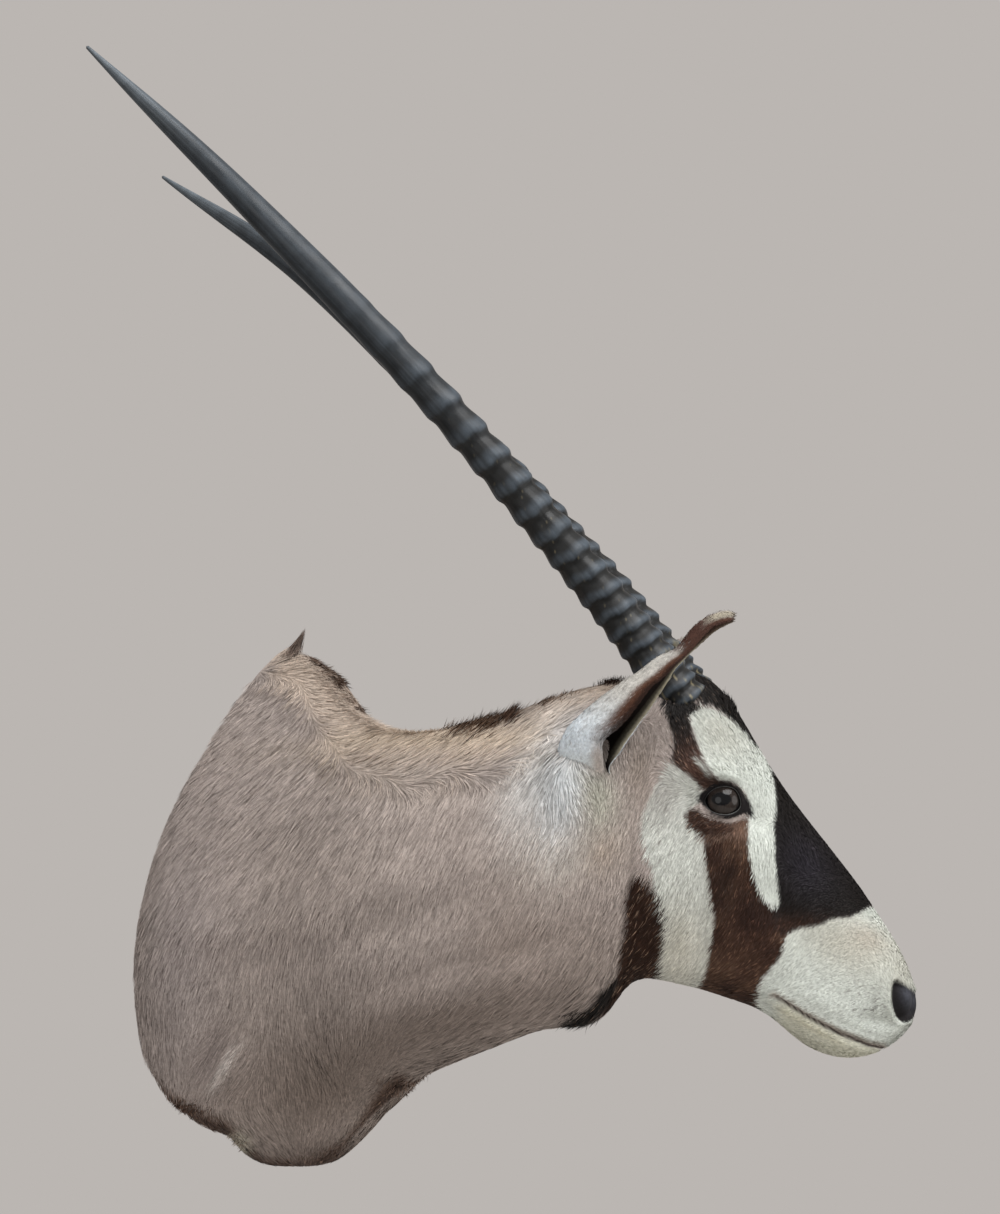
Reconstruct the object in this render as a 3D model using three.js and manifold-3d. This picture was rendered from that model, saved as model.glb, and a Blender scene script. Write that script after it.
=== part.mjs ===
// A gemsbok shoulder mount: head, neck, shoulders and ears under their hide, two ringed horns, two glass
// eyes, and the plywood board in its back with the plate that hangs it on a wall.
// Millimetres, +Z up. The origin is on the board's back face, which lies against the wall (y = 0).
// The mount stands out along -Y, and its neck turns towards +X, the animal's left.
import * as THREE from "three";
import { mergeVertices } from "three/addons/utils/BufferGeometryUtils.js";
import Module from "manifold-3d";

const wasm = await Module();
wasm.setup();

// ---- driving dimensions ----
const NECK_TURN = (55 * Math.PI) / 180; // how far the head faces off the wall's normal
const NECK_STRAIGHT = 181; // neck length that leaves the wall before the turn begins
const NECK_BEND_R = 248; // radius of the neck's turn, seen from above
const HEAD_START = NECK_STRAIGHT + NECK_BEND_R * NECK_TURN; // where the turn ends
const FIT_GAP = 0.35; // clearance between pieces that touch

const HIDE_BACK = 3; // the hide's back edge stops this far in front of the wall
const BOARD = { width: 220, height: 380, thick: 18, z: -20 };
const BOARD_SCREWS = { x: 76, z_top: 100, z_bottom: -140 };
const HANGER = { width: 30, height: 78, thick: 2.4, corner: 6, z: 112, screw_z: 31 };
const KEYHOLE = { entry_r: 7, slot_r: 3.4, rise: 15, drop: 7, pocket_r: 12, pocket_deep: 11 };
const SCREW = { head_r: 4.5, head_deep: 3, shank_r: 2, hanger: 14.5, board: 45 };

const EYE = { r: 17.5, s: 541, w: 62.5, z: 85.5 };

// ---- the hide's outline ----
// Each station is a cut through the animal, from the wall to the nose. top and bottom are [s, z], where s
// runs along the neck and face from the wall. half is the half-width, round holds the superellipse
// exponents of the upper and the lower half, and skew makes the upper half wider (+) or narrower (-).
const STATIONS = [
  { top: [0, 272], bottom: [0, -272], half: 169, round: [1.85, 1.75], skew: -0.42 },
  { top: [22, 257], bottom: [30, -274], half: 170, round: [1.8, 1.65], skew: -0.42 },
  { top: [58, 229], bottom: [72, -266], half: 165, round: [1.7, 1.45], skew: -0.38 },
  { top: [104, 197], bottom: [112, -241], half: 150, round: [1.7, 1.25], skew: -0.34 },
  { top: [152, 170], bottom: [154, -214], half: 129, round: [1.75, 1.25], skew: -0.28 },
  { top: [200, 158], bottom: [201, -187], half: 111, round: [1.9, 1.5], skew: -0.24 },
  { top: [250, 154], bottom: [250, -164], half: 97, round: [1.95, 1.85], skew: -0.2 },
  { top: [300, 158], bottom: [297, -148], half: 89, round: [2.0, 1.95], skew: -0.16 },
  { top: [345, 169], bottom: [342, -131], half: 84, round: [2.0, 2.0], skew: -0.12 },
  { top: [388, 185], bottom: [382, -121], half: 80, round: [2.0, 2.0], skew: -0.06 },
  { top: [428, 196], bottom: [414, -119], half: 78, round: [2.1, 2.0], skew: 0.0 },
  { top: [466, 202.5], bottom: [437, -104], half: 76, round: [2.15, 2.0], skew: 0.06 },
  { top: [502, 208], bottom: [452, -80], half: 75, round: [2.2, 2.0], skew: 0.12 },
  { top: [531, 206], bottom: [468, -72], half: 74, round: [2.25, 2.1], skew: 0.18 },
  { top: [553, 180], bottom: [488, -75], half: 73, round: [2.3, 2.2], skew: 0.24 },
  { top: [572, 146.5], bottom: [508, -80], half: 69, round: [2.3, 2.2], skew: 0.26 },
  { top: [590, 115], bottom: [528, -85], half: 61, round: [2.25, 2.2], skew: 0.24 },
  { top: [609, 87], bottom: [548, -92], half: 53, round: [2.2, 2.2], skew: 0.2 },
  { top: [630, 60], bottom: [568, -98], half: 47, round: [2.2, 2.2], skew: 0.14 },
  { top: [650, 34], bottom: [587, -109], half: 43, round: [2.2, 2.2], skew: 0.08 },
  { top: [669, 9], bottom: [603, -124], half: 41, round: [2.25, 2.2], skew: 0.04 },
  { top: [685, -17], bottom: [621, -137], half: 40, round: [2.3, 2.2], skew: 0.02 },
  { top: [701, -42], bottom: [643, -144], half: 38.5, round: [2.35, 2.3], skew: 0.0 },
  { top: [712, -67], bottom: [664, -144], half: 35.5, round: [2.3, 2.3], skew: 0.0 },
  { top: [718, -89], bottom: [683, -138], half: 29, round: [2.2, 2.2], skew: 0.0 },
  { top: [718, -103], bottom: [696, -130], half: 19, round: [2.0, 2.0], skew: 0.0 },
  { top: [710, -116], bottom: [705, -122], half: 5, round: [2.0, 2.0], skew: 0.0 },
];
// Soft swellings of both flanks: centre [s, z], reach [s, z], and how far they stand out.
const SWELLINGS = [
  { at: [55, -100], reach: [60, 80], out: 9 }, // shoulder muscle
  { at: [95, 95], reach: [75, 75], out: 7 }, // shoulder blade
  { at: [5, 90], reach: [35, 95], out: 6 }, // back of the shoulder blade
  { at: [5, -180], reach: [30, 45], out: 15 }, // point of the shoulder
  { at: [5, -238], reach: [32, 16], out: -14 }, // edge of the brisket
  { at: [470, 5], reach: [45, 55], out: 7 }, // jowl
  { at: [541, 108], reach: [26, 18], out: 8 }, // brow
  { at: [556, 36], reach: [34, 26], out: 3 }, // cheekbone
  { at: [628, -40], reach: [30, 40], out: -3 }, // hollow behind the muzzle
  { at: [684, -82], reach: [22, 26], out: 3 }, // nostril wing
];
const HIDE_STEPS = 42;
const HIDE_SIDES = 30;

// ---- horns ----
// Points from inside the skull to the tip, as [u, v, z]: u along the face, v to the animal's left.
const HORNS = {
  right_horn: [
    [112, -27, 151],
    [92, -31, 176],
    [11, -50, 281],
    [-131, -87, 447],
    [-313, -128, 635],
    [-452, -150, 769],
  ],
  left_horn: [
    [120, 27, 164],
    [101, 31, 190],
    [24, 50, 293],
    [-118, 85, 458],
    [-291, 120, 641],
    [-445, 140, 756],
  ],
};
const HORN_RADII = [22.6, 20.2, 18.8, 17.9, 17.1, 16.2, 15, 13.4, 11.2, 7.8, 1.6]; // evenly to the tip
const HORN_SIDES = 10;
const RINGS = { count: 27, first: 11, growth: 1.03, height: 1.6 }; // first is the ring spacing at the skull
const HORN_PLAIN_STEPS = 12; // steps of the smooth, tapering end

// ---- ears ----
// The right ear's rolled sections, from its root inside the hide to its tip. back, outer and inner are its
// back edge and its two rims as [u, z]. off is how far the back edge is from the head's middle plane.
// deep is half of the section's depth, and roll is half of the arc that it wraps, in radians.
const EAR_ROWS = [
  { back: [-11, 59], outer: [15, 68], inner: [32, 77], off: 34, deep: 10, roll: 2.3 },
  { back: [-24, 87], outer: [14, 91], inner: [28, 97], off: 48, deep: 18, roll: 2.25 },
  { back: [-28, 116], outer: [15, 112], inner: [20, 113], off: 60, deep: 24, roll: 2.2 },
  { back: [-25, 133], outer: [14, 124], inner: [29, 127], off: 71, deep: 27, roll: 2.1 },
  { back: [-17, 149], outer: [15, 136], inner: [39, 142], off: 80, deep: 27, roll: 2.0 },
  { back: [-4, 162], outer: [30, 149], inner: [48, 155], off: 88, deep: 25, roll: 1.95 },
  { back: [11, 174], outer: [43, 164], inner: [57, 167], off: 95, deep: 22, roll: 1.9 },
  { back: [28, 186], outer: [55, 180], inner: [65, 179], off: 101, deep: 18, roll: 1.8 },
  { back: [46, 197], outer: [67, 190], inner: [72, 189], off: 107, deep: 13, roll: 1.7 },
  { back: [62, 209], outer: [77, 200], inner: [79, 200], off: 112, deep: 9, roll: 1.6 },
  { back: [79, 217], outer: [88, 210], inner: [88, 209], off: 115, deep: 6.5, roll: 1.5 },
  { back: [94, 235], outer: [99, 222], inner: [100, 220], off: 118, deep: 5, roll: 1.4 },
  { back: [108, 245], outer: [111, 234], inner: [113, 231], off: 120, deep: 4, roll: 1.35 },
  { back: [122, 249], outer: [123, 238], inner: [124, 237], off: 121, deep: 3.5, roll: 1.3 },
  { back: [131, 247], outer: [129, 240], inner: [129, 239], off: 121, deep: 2.5, roll: 1.2 },
];
const LEFT_EAR_SHIFT = [-27, 10]; // the left ear's tip lies this far back and up, as [u, z]
const EAR_THICK = 3.5;
const EAR_STEPS = 13;
const EAR_SIDES = 8;

// ---- materials ----
const finish = (color, roughness, metalness = 0) =>
  new THREE.MeshStandardMaterial({ color, roughness, metalness });
const HIDE = finish(0x8f837b, 0.85);
const HORN = finish(0x2f3336, 0.5);
const EYE_GLASS = finish(0x120d0a, 0.05);
const PLYWOOD = finish(0xb08d5f, 0.7);
const STEEL = finish(0x9a9da0, 0.35, 1.0);

// ---- solids ----
// A closed triangle mesh as a manifold solid.
function solidOf(geometry) {
  const bare = geometry.clone();
  bare.deleteAttribute("normal");
  bare.deleteAttribute("uv");
  const merged = mergeVertices(bare, 1e-4);
  const vertProperties = merged.attributes.position.array;
  const triVerts = new Uint32Array(merged.index.array);
  return new wasm.Manifold(new wasm.Mesh({ numProp: 3, vertProperties, triVerts }));
}

// A manifold solid as three.js geometry, keeping only its largest body.
function geometryOf(solid) {
  const largest = solid.decompose().reduce((a, b) => (b.volume() > a.volume() ? b : a));
  const { vertProperties, triVerts } = largest.getMesh();
  const geometry = new THREE.BufferGeometry();
  geometry.setAttribute("position", new THREE.BufferAttribute(new Float32Array(vertProperties), 3));
  geometry.setIndex(new THREE.BufferAttribute(new Uint32Array(triVerts), 1));
  geometry.computeVertexNormals();
  return geometry;
}

// Rings of points, each with the same count, as one closed skin with a fan of triangles over both ends.
function skinOf(rings) {
  const sides = rings[0].length;
  const points = rings.flat();
  const faces = [];
  for (let i = 0; i + 1 < rings.length; i++) {
    for (let j = 0; j < sides; j++) {
      const a = i * sides + j;
      const b = i * sides + ((j + 1) % sides);
      faces.push([a, b, b + sides], [a, b + sides, a + sides]);
    }
  }
  for (const ring of [rings[0], rings.at(-1)]) {
    const first = ring === rings[0];
    const start = first ? 0 : (rings.length - 1) * sides;
    const centre = points.length;
    points.push(ring.reduce((sum, p) => sum.add(p), new THREE.Vector3()).divideScalar(sides));
    for (let j = 0; j < sides; j++) {
      const edge = [start + j, start + ((j + 1) % sides)];
      faces.push(first ? [edge[1], edge[0], centre] : [edge[0], edge[1], centre]);
    }
  }
  const geometry = new THREE.BufferGeometry().setFromPoints(points);
  geometry.setIndex(faces.flat());
  const solid = solidOf(geometry);
  if (solid.volume() > 0) return solid;
  geometry.setIndex(faces.map(([a, b, c]) => [a, c, b]).flat());
  return solidOf(geometry);
}

// ---- the turned neck ----
// A point s along the neck from the wall, w to the animal's left of its middle plane, and z up.
function bend(s, w, z) {
  const turned = THREE.MathUtils.clamp((s - NECK_STRAIGHT) / NECK_BEND_R, 0, NECK_TURN);
  const straight = Math.min(s, NECK_STRAIGHT);
  const past = Math.max(s - HEAD_START, 0);
  const x = NECK_BEND_R * (1 - Math.cos(turned)) + past * Math.sin(turned) + w * Math.cos(turned);
  const y = -straight - NECK_BEND_R * Math.sin(turned) - past * Math.cos(turned) + w * Math.sin(turned);
  return new THREE.Vector3(x, y, z);
}

// A direction of the head's own frame: u along the face, v to the animal's left, z up.
function headDirection([u, v, z]) {
  const along = new THREE.Vector3(Math.sin(NECK_TURN), -Math.cos(NECK_TURN), 0);
  const left = new THREE.Vector3(Math.cos(NECK_TURN), Math.sin(NECK_TURN), 0);
  return new THREE.Vector3(0, 0, z).addScaledVector(along, u).addScaledVector(left, v);
}

// A point of that frame, whose origin is where the neck's turn ends.
function headPoint(uvz) {
  return bend(HEAD_START, 0, 0).add(headDirection(uvz));
}

// ---- hide ----
// A uniform cubic B-spline along a list of numbers, held at both ends, for t from 0 to 1.
function spline(values, t) {
  const last = values.length - 1;
  const held = [2 * values[0] - values[1], ...values, 2 * values[last] - values[last - 1]];
  const i = Math.min(Math.floor(t * last), last - 1);
  const f = t * last - i;
  const weights = [
    (1 - f) ** 3,
    3 * f ** 3 - 6 * f ** 2 + 4,
    -3 * f ** 3 + 3 * f ** 2 + 3 * f + 1,
    f ** 3,
  ];
  return weights.reduce((sum, weight, k) => sum + (weight * held[i + k]) / 6, 0);
}

function swelling(s, z) {
  return SWELLINGS.reduce((sum, { at, reach, out }) => {
    const far = ((s - at[0]) / reach[0]) ** 2 + ((z - at[1]) / reach[1]) ** 2;
    return sum + out * Math.exp(-far);
  }, 0);
}

function hideRing(t) {
  const at = (read) => spline(STATIONS.map(read), t);
  const middle = [0, 1].map((k) => at(({ top, bottom }) => (top[k] + bottom[k]) / 2));
  const reach = [0, 1].map((k) => at(({ top, bottom }) => (top[k] - bottom[k]) / 2));
  const half = at((station) => station.half);
  const power = [0, 1].map((k) => 2 / at((station) => station.round[k]));
  const skew = at((station) => station.skew);
  return Array.from({ length: HIDE_SIDES }, (_, j) => {
    const angle = (2 * Math.PI * j) / HIDE_SIDES;
    const here = power[Math.cos(angle) < 0 ? 1 : 0];
    const rounded = (x) => Math.sign(x) * Math.abs(x) ** here;
    const up = rounded(Math.cos(angle));
    const out = rounded(Math.sin(angle));
    const s = middle[0] + up * reach[0];
    const z = middle[1] + up * reach[1];
    const width = half * (1 + skew * up) + swelling(s, z) * Math.abs(out);
    return bend(s + HIDE_BACK * (1 - t), out * width, z);
  });
}

function hideSolid() {
  return skinOf(Array.from({ length: HIDE_STEPS + 1 }, (_, i) => hideRing(i / HIDE_STEPS)));
}

// ---- horns ----
// Distances along a horn and the ring height there: a groove and a crest for each ring, then the plain end.
function hornStops(length) {
  const stops = [{ along: 0, ring: 0 }];
  let from = 6;
  let pitch = RINGS.first;
  for (let i = 0; i < RINGS.count; i++) {
    const height = RINGS.height * (1 - 0.6 * (i / RINGS.count) ** 2);
    stops.push({ along: from, ring: -height });
    stops.push({ along: from + pitch / 2, ring: height * 0.6 });
    from += pitch;
    pitch *= RINGS.growth;
  }
  for (let i = 0; i <= HORN_PLAIN_STEPS; i++) {
    stops.push({ along: THREE.MathUtils.lerp(from, length, i / HORN_PLAIN_STEPS), ring: 0 });
  }
  return stops;
}

function hornSolid(points, grow) {
  const path = new THREE.CatmullRomCurve3(points.map(headPoint), false, "centripetal");
  const length = path.getLength();
  const frame = new THREE.Object3D();
  const rings = hornStops(length).map(({ along, ring }) => {
    const share = Math.min(along / length, 1);
    const radius = spline(HORN_RADII, share) + ring + grow;
    frame.position.copy(path.getPointAt(share));
    frame.lookAt(frame.position.clone().add(path.getTangentAt(share)));
    frame.updateMatrixWorld(true);
    return Array.from({ length: HORN_SIDES }, (_, j) => {
      const angle = (2 * Math.PI * j) / HORN_SIDES;
      return frame.localToWorld(new THREE.Vector3(radius * Math.cos(angle), radius * Math.sin(angle), 0));
    });
  });
  return skinOf(rings);
}

// ---- ears ----
// A smooth curve through the [u, z] points that the ear's rows hold under a name.
function railOf(name) {
  const points = EAR_ROWS.map((row) => new THREE.Vector3(row[name][0], 0, row[name][1]));
  return new THREE.CatmullRomCurve3(points, false, "catmullrom");
}

// A leaf rolled about its length: at each step an open arc of skin, thinner at its rims. side is -1 or 1.
function earSolid(side) {
  const [back, outer, inner] = ["back", "outer", "inner"].map(railOf);
  const rings = [];
  for (let i = 0; i <= EAR_STEPS; i++) {
    const t = i / EAR_STEPS;
    const at = (name) => spline(EAR_ROWS.map((row) => row[name]), t);
    const [off, deep, roll] = ["off", "deep", "roll"].map(at);
    const from = back.getPoint(t);
    const [toOuter, toInner] = [outer, inner].map((rail) => rail.getPoint(t).sub(from));
    const hollow = toOuter.clone().add(toInner).multiplyScalar(0.3);
    const shift = side > 0 ? t * t : 0;
    const arcPoint = (k, thick) => {
      const share = (2 * k) / EAR_SIDES - 1;
      const reach = (1 - Math.cos(roll * share)) / (1 - Math.cos(roll));
      const point = (share < 0 ? toOuter : toInner).clone().multiplyScalar(reach);
      point.y = -deep * Math.sin(roll * share);
      const inward = hollow.clone().sub(point).normalize();
      point.addScaledVector(inward, thick).add(from);
      const [u, z] = [point.x + LEFT_EAR_SHIFT[0] * shift, point.z + LEFT_EAR_SHIFT[1] * shift];
      return headPoint([u, side * (off + point.y), z]);
    };
    const ring = [];
    for (let k = 0; k <= EAR_SIDES; k++) ring.push(arcPoint(k, 0));
    for (let k = EAR_SIDES; k >= 0; k--) {
      const towardsRim = Math.abs((2 * k) / EAR_SIDES - 1);
      ring.push(arcPoint(k, Math.min(EAR_THICK, deep * 0.6) * (1 - towardsRim / 2)));
    }
    rings.push(ring);
  }
  return skinOf(rings);
}

// ---- eyes ----
function eyeSolid(side, grow) {
  const ball = new THREE.SphereGeometry(EYE.r + grow, 14, 10);
  const at = bend(EYE.s, EYE.w * side, EYE.z);
  ball.translate(at.x, at.y, at.z);
  return solidOf(ball);
}

// ---- board and hanger ----
// An outline in x and z as a standing plate, its back face at depth behind from the wall.
function plateSolid(shape, behind, thick) {
  const plate = new THREE.ExtrudeGeometry(shape, { depth: thick, bevelEnabled: false, curveSegments: 6 });
  plate.rotateX(Math.PI / 2);
  plate.translate(0, -behind, 0);
  return solidOf(plate);
}

function boardShape(grow) {
  const oval = new THREE.EllipseCurve(0, BOARD.z, BOARD.width / 2 + grow, BOARD.height / 2 + grow);
  return new THREE.Shape(oval.getPoints(40).slice(0, -1));
}

function hangerShape(grow) {
  const corner = HANGER.corner;
  const x = HANGER.width / 2 + grow - corner;
  const z = HANGER.height / 2 + grow - corner;
  const shape = new THREE.Shape();
  shape.absarc(x, HANGER.z + z, corner, 0, Math.PI / 2);
  shape.absarc(-x, HANGER.z + z, corner, Math.PI / 2, Math.PI);
  shape.absarc(-x, HANGER.z - z, corner, Math.PI, 1.5 * Math.PI);
  shape.absarc(x, HANGER.z - z, corner, 1.5 * Math.PI, 2 * Math.PI);
  return shape;
}

// A wide round entry with a narrow slot rising from it, as one outline.
function keyholeShape() {
  const { entry_r, slot_r, rise, drop } = KEYHOLE;
  const lean = Math.asin(slot_r / entry_r);
  const shape = new THREE.Shape();
  shape.absarc(0, HANGER.z - drop, entry_r, Math.PI / 2 + lean, 2.5 * Math.PI - lean);
  shape.absarc(0, HANGER.z - drop + rise, slot_r, 0, Math.PI);
  return shape;
}

// The space behind the keyhole that the hook's head moves in.
function pocketShape() {
  const { pocket_r, rise, drop } = KEYHOLE;
  const shape = new THREE.Shape();
  shape.absarc(0, HANGER.z - drop + rise, pocket_r, 0, Math.PI);
  shape.absarc(0, HANGER.z - drop, pocket_r, Math.PI, 2 * Math.PI);
  return shape;
}

// A countersunk screw whose head is flush with the board's back, and which points away from the wall.
function screwSolid({ x, z, length }, grow) {
  const { head_r, head_deep, shank_r } = SCREW;
  const profile = [
    [0, -grow],
    [head_r + grow, -grow],
    [head_r + grow, 0.5],
    [shank_r + grow, head_deep],
    [shank_r + grow, length - shank_r],
    [0, length + grow],
  ];
  const screw = new THREE.LatheGeometry(profile.map(([r, deep]) => new THREE.Vector2(r, deep)), 8);
  screw.rotateX(Math.PI);
  screw.translate(x, 0, z);
  return solidOf(screw);
}

// ---- assembly ----
const group = new THREE.Group();
function add(name, solid, material) {
  const mesh = new THREE.Mesh(geometryOf(solid), material);
  mesh.name = name;
  group.add(mesh);
}

let hide = hideSolid().subtract(plateSolid(boardShape(FIT_GAP), -1, BOARD.thick + FIT_GAP + 1));
for (const side of [-1, 1]) hide = hide.add(earSolid(side));
for (const [name, points] of Object.entries(HORNS)) {
  add(name, hornSolid(points, 0), HORN);
  hide = hide.subtract(hornSolid(points, FIT_GAP));
}
for (const [name, side] of [["right_eye", -1], ["left_eye", 1]]) {
  add(name, eyeSolid(side, 0), EYE_GLASS);
  hide = hide.subtract(eyeSolid(side, FIT_GAP));
}

let board = plateSolid(boardShape(0), 0, BOARD.thick);
let hanger = plateSolid(hangerShape(0), 0, HANGER.thick);
board = board.subtract(plateSolid(hangerShape(FIT_GAP), -1, HANGER.thick + FIT_GAP + 1));
board = board.subtract(plateSolid(pocketShape(), -1, KEYHOLE.pocket_deep + 1));
hanger = hanger.subtract(plateSolid(keyholeShape(), -1, HANGER.thick + 2));

const screws = [
  { name: "hanger_screw_upper", x: 0, z: HANGER.z + HANGER.screw_z, length: SCREW.hanger },
  { name: "hanger_screw_lower", x: 0, z: HANGER.z - HANGER.screw_z, length: SCREW.hanger },
];
for (const [side, x] of [["right", -BOARD_SCREWS.x], ["left", BOARD_SCREWS.x]]) {
  for (const [place, z] of [["upper", BOARD_SCREWS.z_top], ["lower", BOARD_SCREWS.z_bottom]]) {
    screws.push({ name: `board_screw_${place}_${side}`, x, z, length: SCREW.board });
  }
}
for (const screw of screws) {
  add(screw.name, screwSolid(screw, 0), STEEL);
  const hole = screwSolid(screw, FIT_GAP);
  board = board.subtract(hole);
  hanger = hanger.subtract(hole);
  hide = hide.subtract(hole);
}
add("hide", hide, HIDE);
add("backboard", board, PLYWOOD);
add("hanger_plate", hanger, STEEL);

export default group;
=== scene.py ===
from math import atan, cos, pi, radians, sin

import bpy
import numpy as np
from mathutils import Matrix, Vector
from mathutils.bvhtree import BVHTree


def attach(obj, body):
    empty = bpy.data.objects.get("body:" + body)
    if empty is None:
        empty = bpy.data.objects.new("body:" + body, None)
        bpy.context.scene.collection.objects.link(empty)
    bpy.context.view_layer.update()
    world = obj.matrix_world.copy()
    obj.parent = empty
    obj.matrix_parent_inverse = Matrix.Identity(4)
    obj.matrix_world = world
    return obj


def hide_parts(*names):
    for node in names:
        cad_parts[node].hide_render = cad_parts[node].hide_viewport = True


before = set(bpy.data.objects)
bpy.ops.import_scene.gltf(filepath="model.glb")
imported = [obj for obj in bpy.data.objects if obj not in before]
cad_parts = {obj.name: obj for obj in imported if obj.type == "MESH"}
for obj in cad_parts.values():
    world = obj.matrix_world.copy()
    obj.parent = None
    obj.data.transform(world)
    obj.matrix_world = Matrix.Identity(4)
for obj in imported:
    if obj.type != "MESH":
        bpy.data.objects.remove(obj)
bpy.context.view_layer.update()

MM = 0.001
RNG = np.random.default_rng(7)

# ---- the turned neck, as in the CAD ----
NECK_TURN = radians(55)  # how far the head faces off the wall's normal
NECK_STRAIGHT = 181.0
NECK_BEND_R = 248.0
HEAD_START = NECK_STRAIGHT + NECK_BEND_R * NECK_TURN
HIDE_BACK = 3.0  # the hide's back edge stops this far in front of the wall
ALONG_FACE = np.array([sin(NECK_TURN), -cos(NECK_TURN), 0.0])
TO_LEFT = np.array([cos(NECK_TURN), sin(NECK_TURN), 0.0])
UP = np.array([0.0, 0.0, 1.0])
HEAD_ORIGIN = np.array([
    NECK_BEND_R * (1 - cos(NECK_TURN)),
    -NECK_STRAIGHT - NECK_BEND_R * sin(NECK_TURN),
    0.0,
])

# ---- the camera ----
IMAGE_PX = (1000, 1214)
FOCAL_PX = 1926.0
CAMERA_AWAY = 1800.0  # from the head's middle plane, on the animal's right
CAMERA_ALONG = -5.0
CAMERA_HEIGHT = 5.0
FOOT_PX = (581.0, 892.0)  # where the line square to that plane meets it
SENSOR_MM = 36.0

# ---- the hide's stations, as in the CAD: top and bottom as s, z, half-width, exponents, skew ----
STATIONS = np.array([
    (0, 272, 0, -272, 169, 1.85, 1.75, -0.42),
    (22, 257, 30, -274, 170, 1.8, 1.65, -0.42),
    (58, 229, 72, -266, 165, 1.7, 1.45, -0.38),
    (104, 197, 112, -241, 150, 1.7, 1.25, -0.34),
    (152, 170, 154, -214, 129, 1.75, 1.25, -0.28),
    (200, 158, 201, -187, 111, 1.9, 1.5, -0.24),
    (250, 154, 250, -164, 97, 1.95, 1.85, -0.2),
    (300, 158, 297, -148, 89, 2.0, 1.95, -0.16),
    (345, 169, 342, -131, 84, 2.0, 2.0, -0.12),
    (388, 185, 382, -121, 80, 2.0, 2.0, -0.06),
    (428, 196, 414, -119, 78, 2.1, 2.0, 0.0),
    (466, 202.5, 437, -104, 76, 2.15, 2.0, 0.06),
    (502, 208, 452, -80, 75, 2.2, 2.0, 0.12),
    (531, 206, 468, -72, 74, 2.25, 2.1, 0.18),
    (553, 180, 488, -75, 73, 2.3, 2.2, 0.24),
    (572, 146.5, 508, -80, 69, 2.3, 2.2, 0.26),
    (590, 115, 528, -85, 61, 2.25, 2.2, 0.24),
    (609, 87, 548, -92, 53, 2.2, 2.2, 0.2),
    (630, 60, 568, -98, 47, 2.2, 2.2, 0.14),
    (650, 34, 587, -109, 43, 2.2, 2.2, 0.08),
    (669, 9, 603, -124, 41, 2.25, 2.2, 0.04),
    (685, -17, 621, -137, 40, 2.3, 2.2, 0.02),
    (701, -42, 643, -144, 38.5, 2.35, 2.3, 0.0),
    (712, -67, 664, -144, 35.5, 2.3, 2.3, 0.0),
    (718, -89, 683, -138, 29, 2.2, 2.2, 0.0),
    (718, -103, 696, -130, 19, 2.0, 2.0, 0.0),
    (710, -116, 705, -122, 5, 2.0, 2.0, 0.0),
])
SWELLINGS = [  # centre s, z, reach s, z, and how far they stand out
    (55, -100, 60, 80, 9),
    (95, 95, 75, 75, 7),
    (5, 90, 35, 95, 6),
    (5, -180, 30, 45, 15),
    (5, -238, 32, 16, -14),
    (470, 5, 45, 55, 7),
    (541, 108, 26, 18, 8),
    (556, 36, 34, 26, 3),
    (628, -40, 30, 40, -3),
    (684, -82, 22, 26, 3),
]
RIDGE_SOFT = 0.1  # rounds off the flank's widest line
HAIR_DEEP = 0.9  # the skin lies this far inside the CAD's surface, and the hair makes it up
HEAD_STATION = 10  # where the neck ends and the head's finer mesh begins
NECK_RINGS = 96
HEAD_RINGS = 210
HIDE_SIDES = 232


# ======================================================== small maths
def smooth(x, low, high):
    """0 below low, 1 above high, and an even slope between."""
    k = np.clip((x - low) / (high - low), 0, 1)
    return k * k * (3 - 2 * k)


def unit(v):
    return v / np.maximum(np.linalg.norm(v, axis=-1, keepdims=True), 1e-9)


def spline(rows, t):
    """A uniform cubic B-spline along rows, held at both ends; t runs from 0 to 1."""
    rows = np.asarray(rows, float)
    last = len(rows) - 1
    held = np.concatenate([2 * rows[:1] - rows[1:2], rows, 2 * rows[-1:] - rows[-2:-1]])
    x = np.clip(np.asarray(t, float), 0, 1) * last
    i = np.minimum(x.astype(int), last - 1)
    f = x - i
    if rows.ndim > 1:
        f = f[..., None]
    weights = ((1 - f) ** 3, 3 * f**3 - 6 * f**2 + 4, -3 * f**3 + 3 * f**2 + 3 * f + 1, f**3)
    return sum(w * held[i + k] for k, w in enumerate(weights)) / 6


def through(rows, t):
    """A uniform Catmull-Rom curve through rows; t runs from 0 to 1."""
    last = len(rows) - 1
    held = np.concatenate([2 * rows[:1] - rows[1:2], rows, 2 * rows[-1:] - rows[-2:-1]])
    i = np.minimum((t * last).astype(int), last - 1)
    f = (t * last - i)[:, None]
    a, b, c, d = (held[i + k] for k in range(4))
    return b + f * (c - a) / 2 + f**2 * (2 * a - 5 * b + 4 * c - d) / 2 + f**3 * (3 * (b - c) + d - a) / 2


CURVE_STEPS = 60  # from one point to the next, before the even steps are measured off


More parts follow.
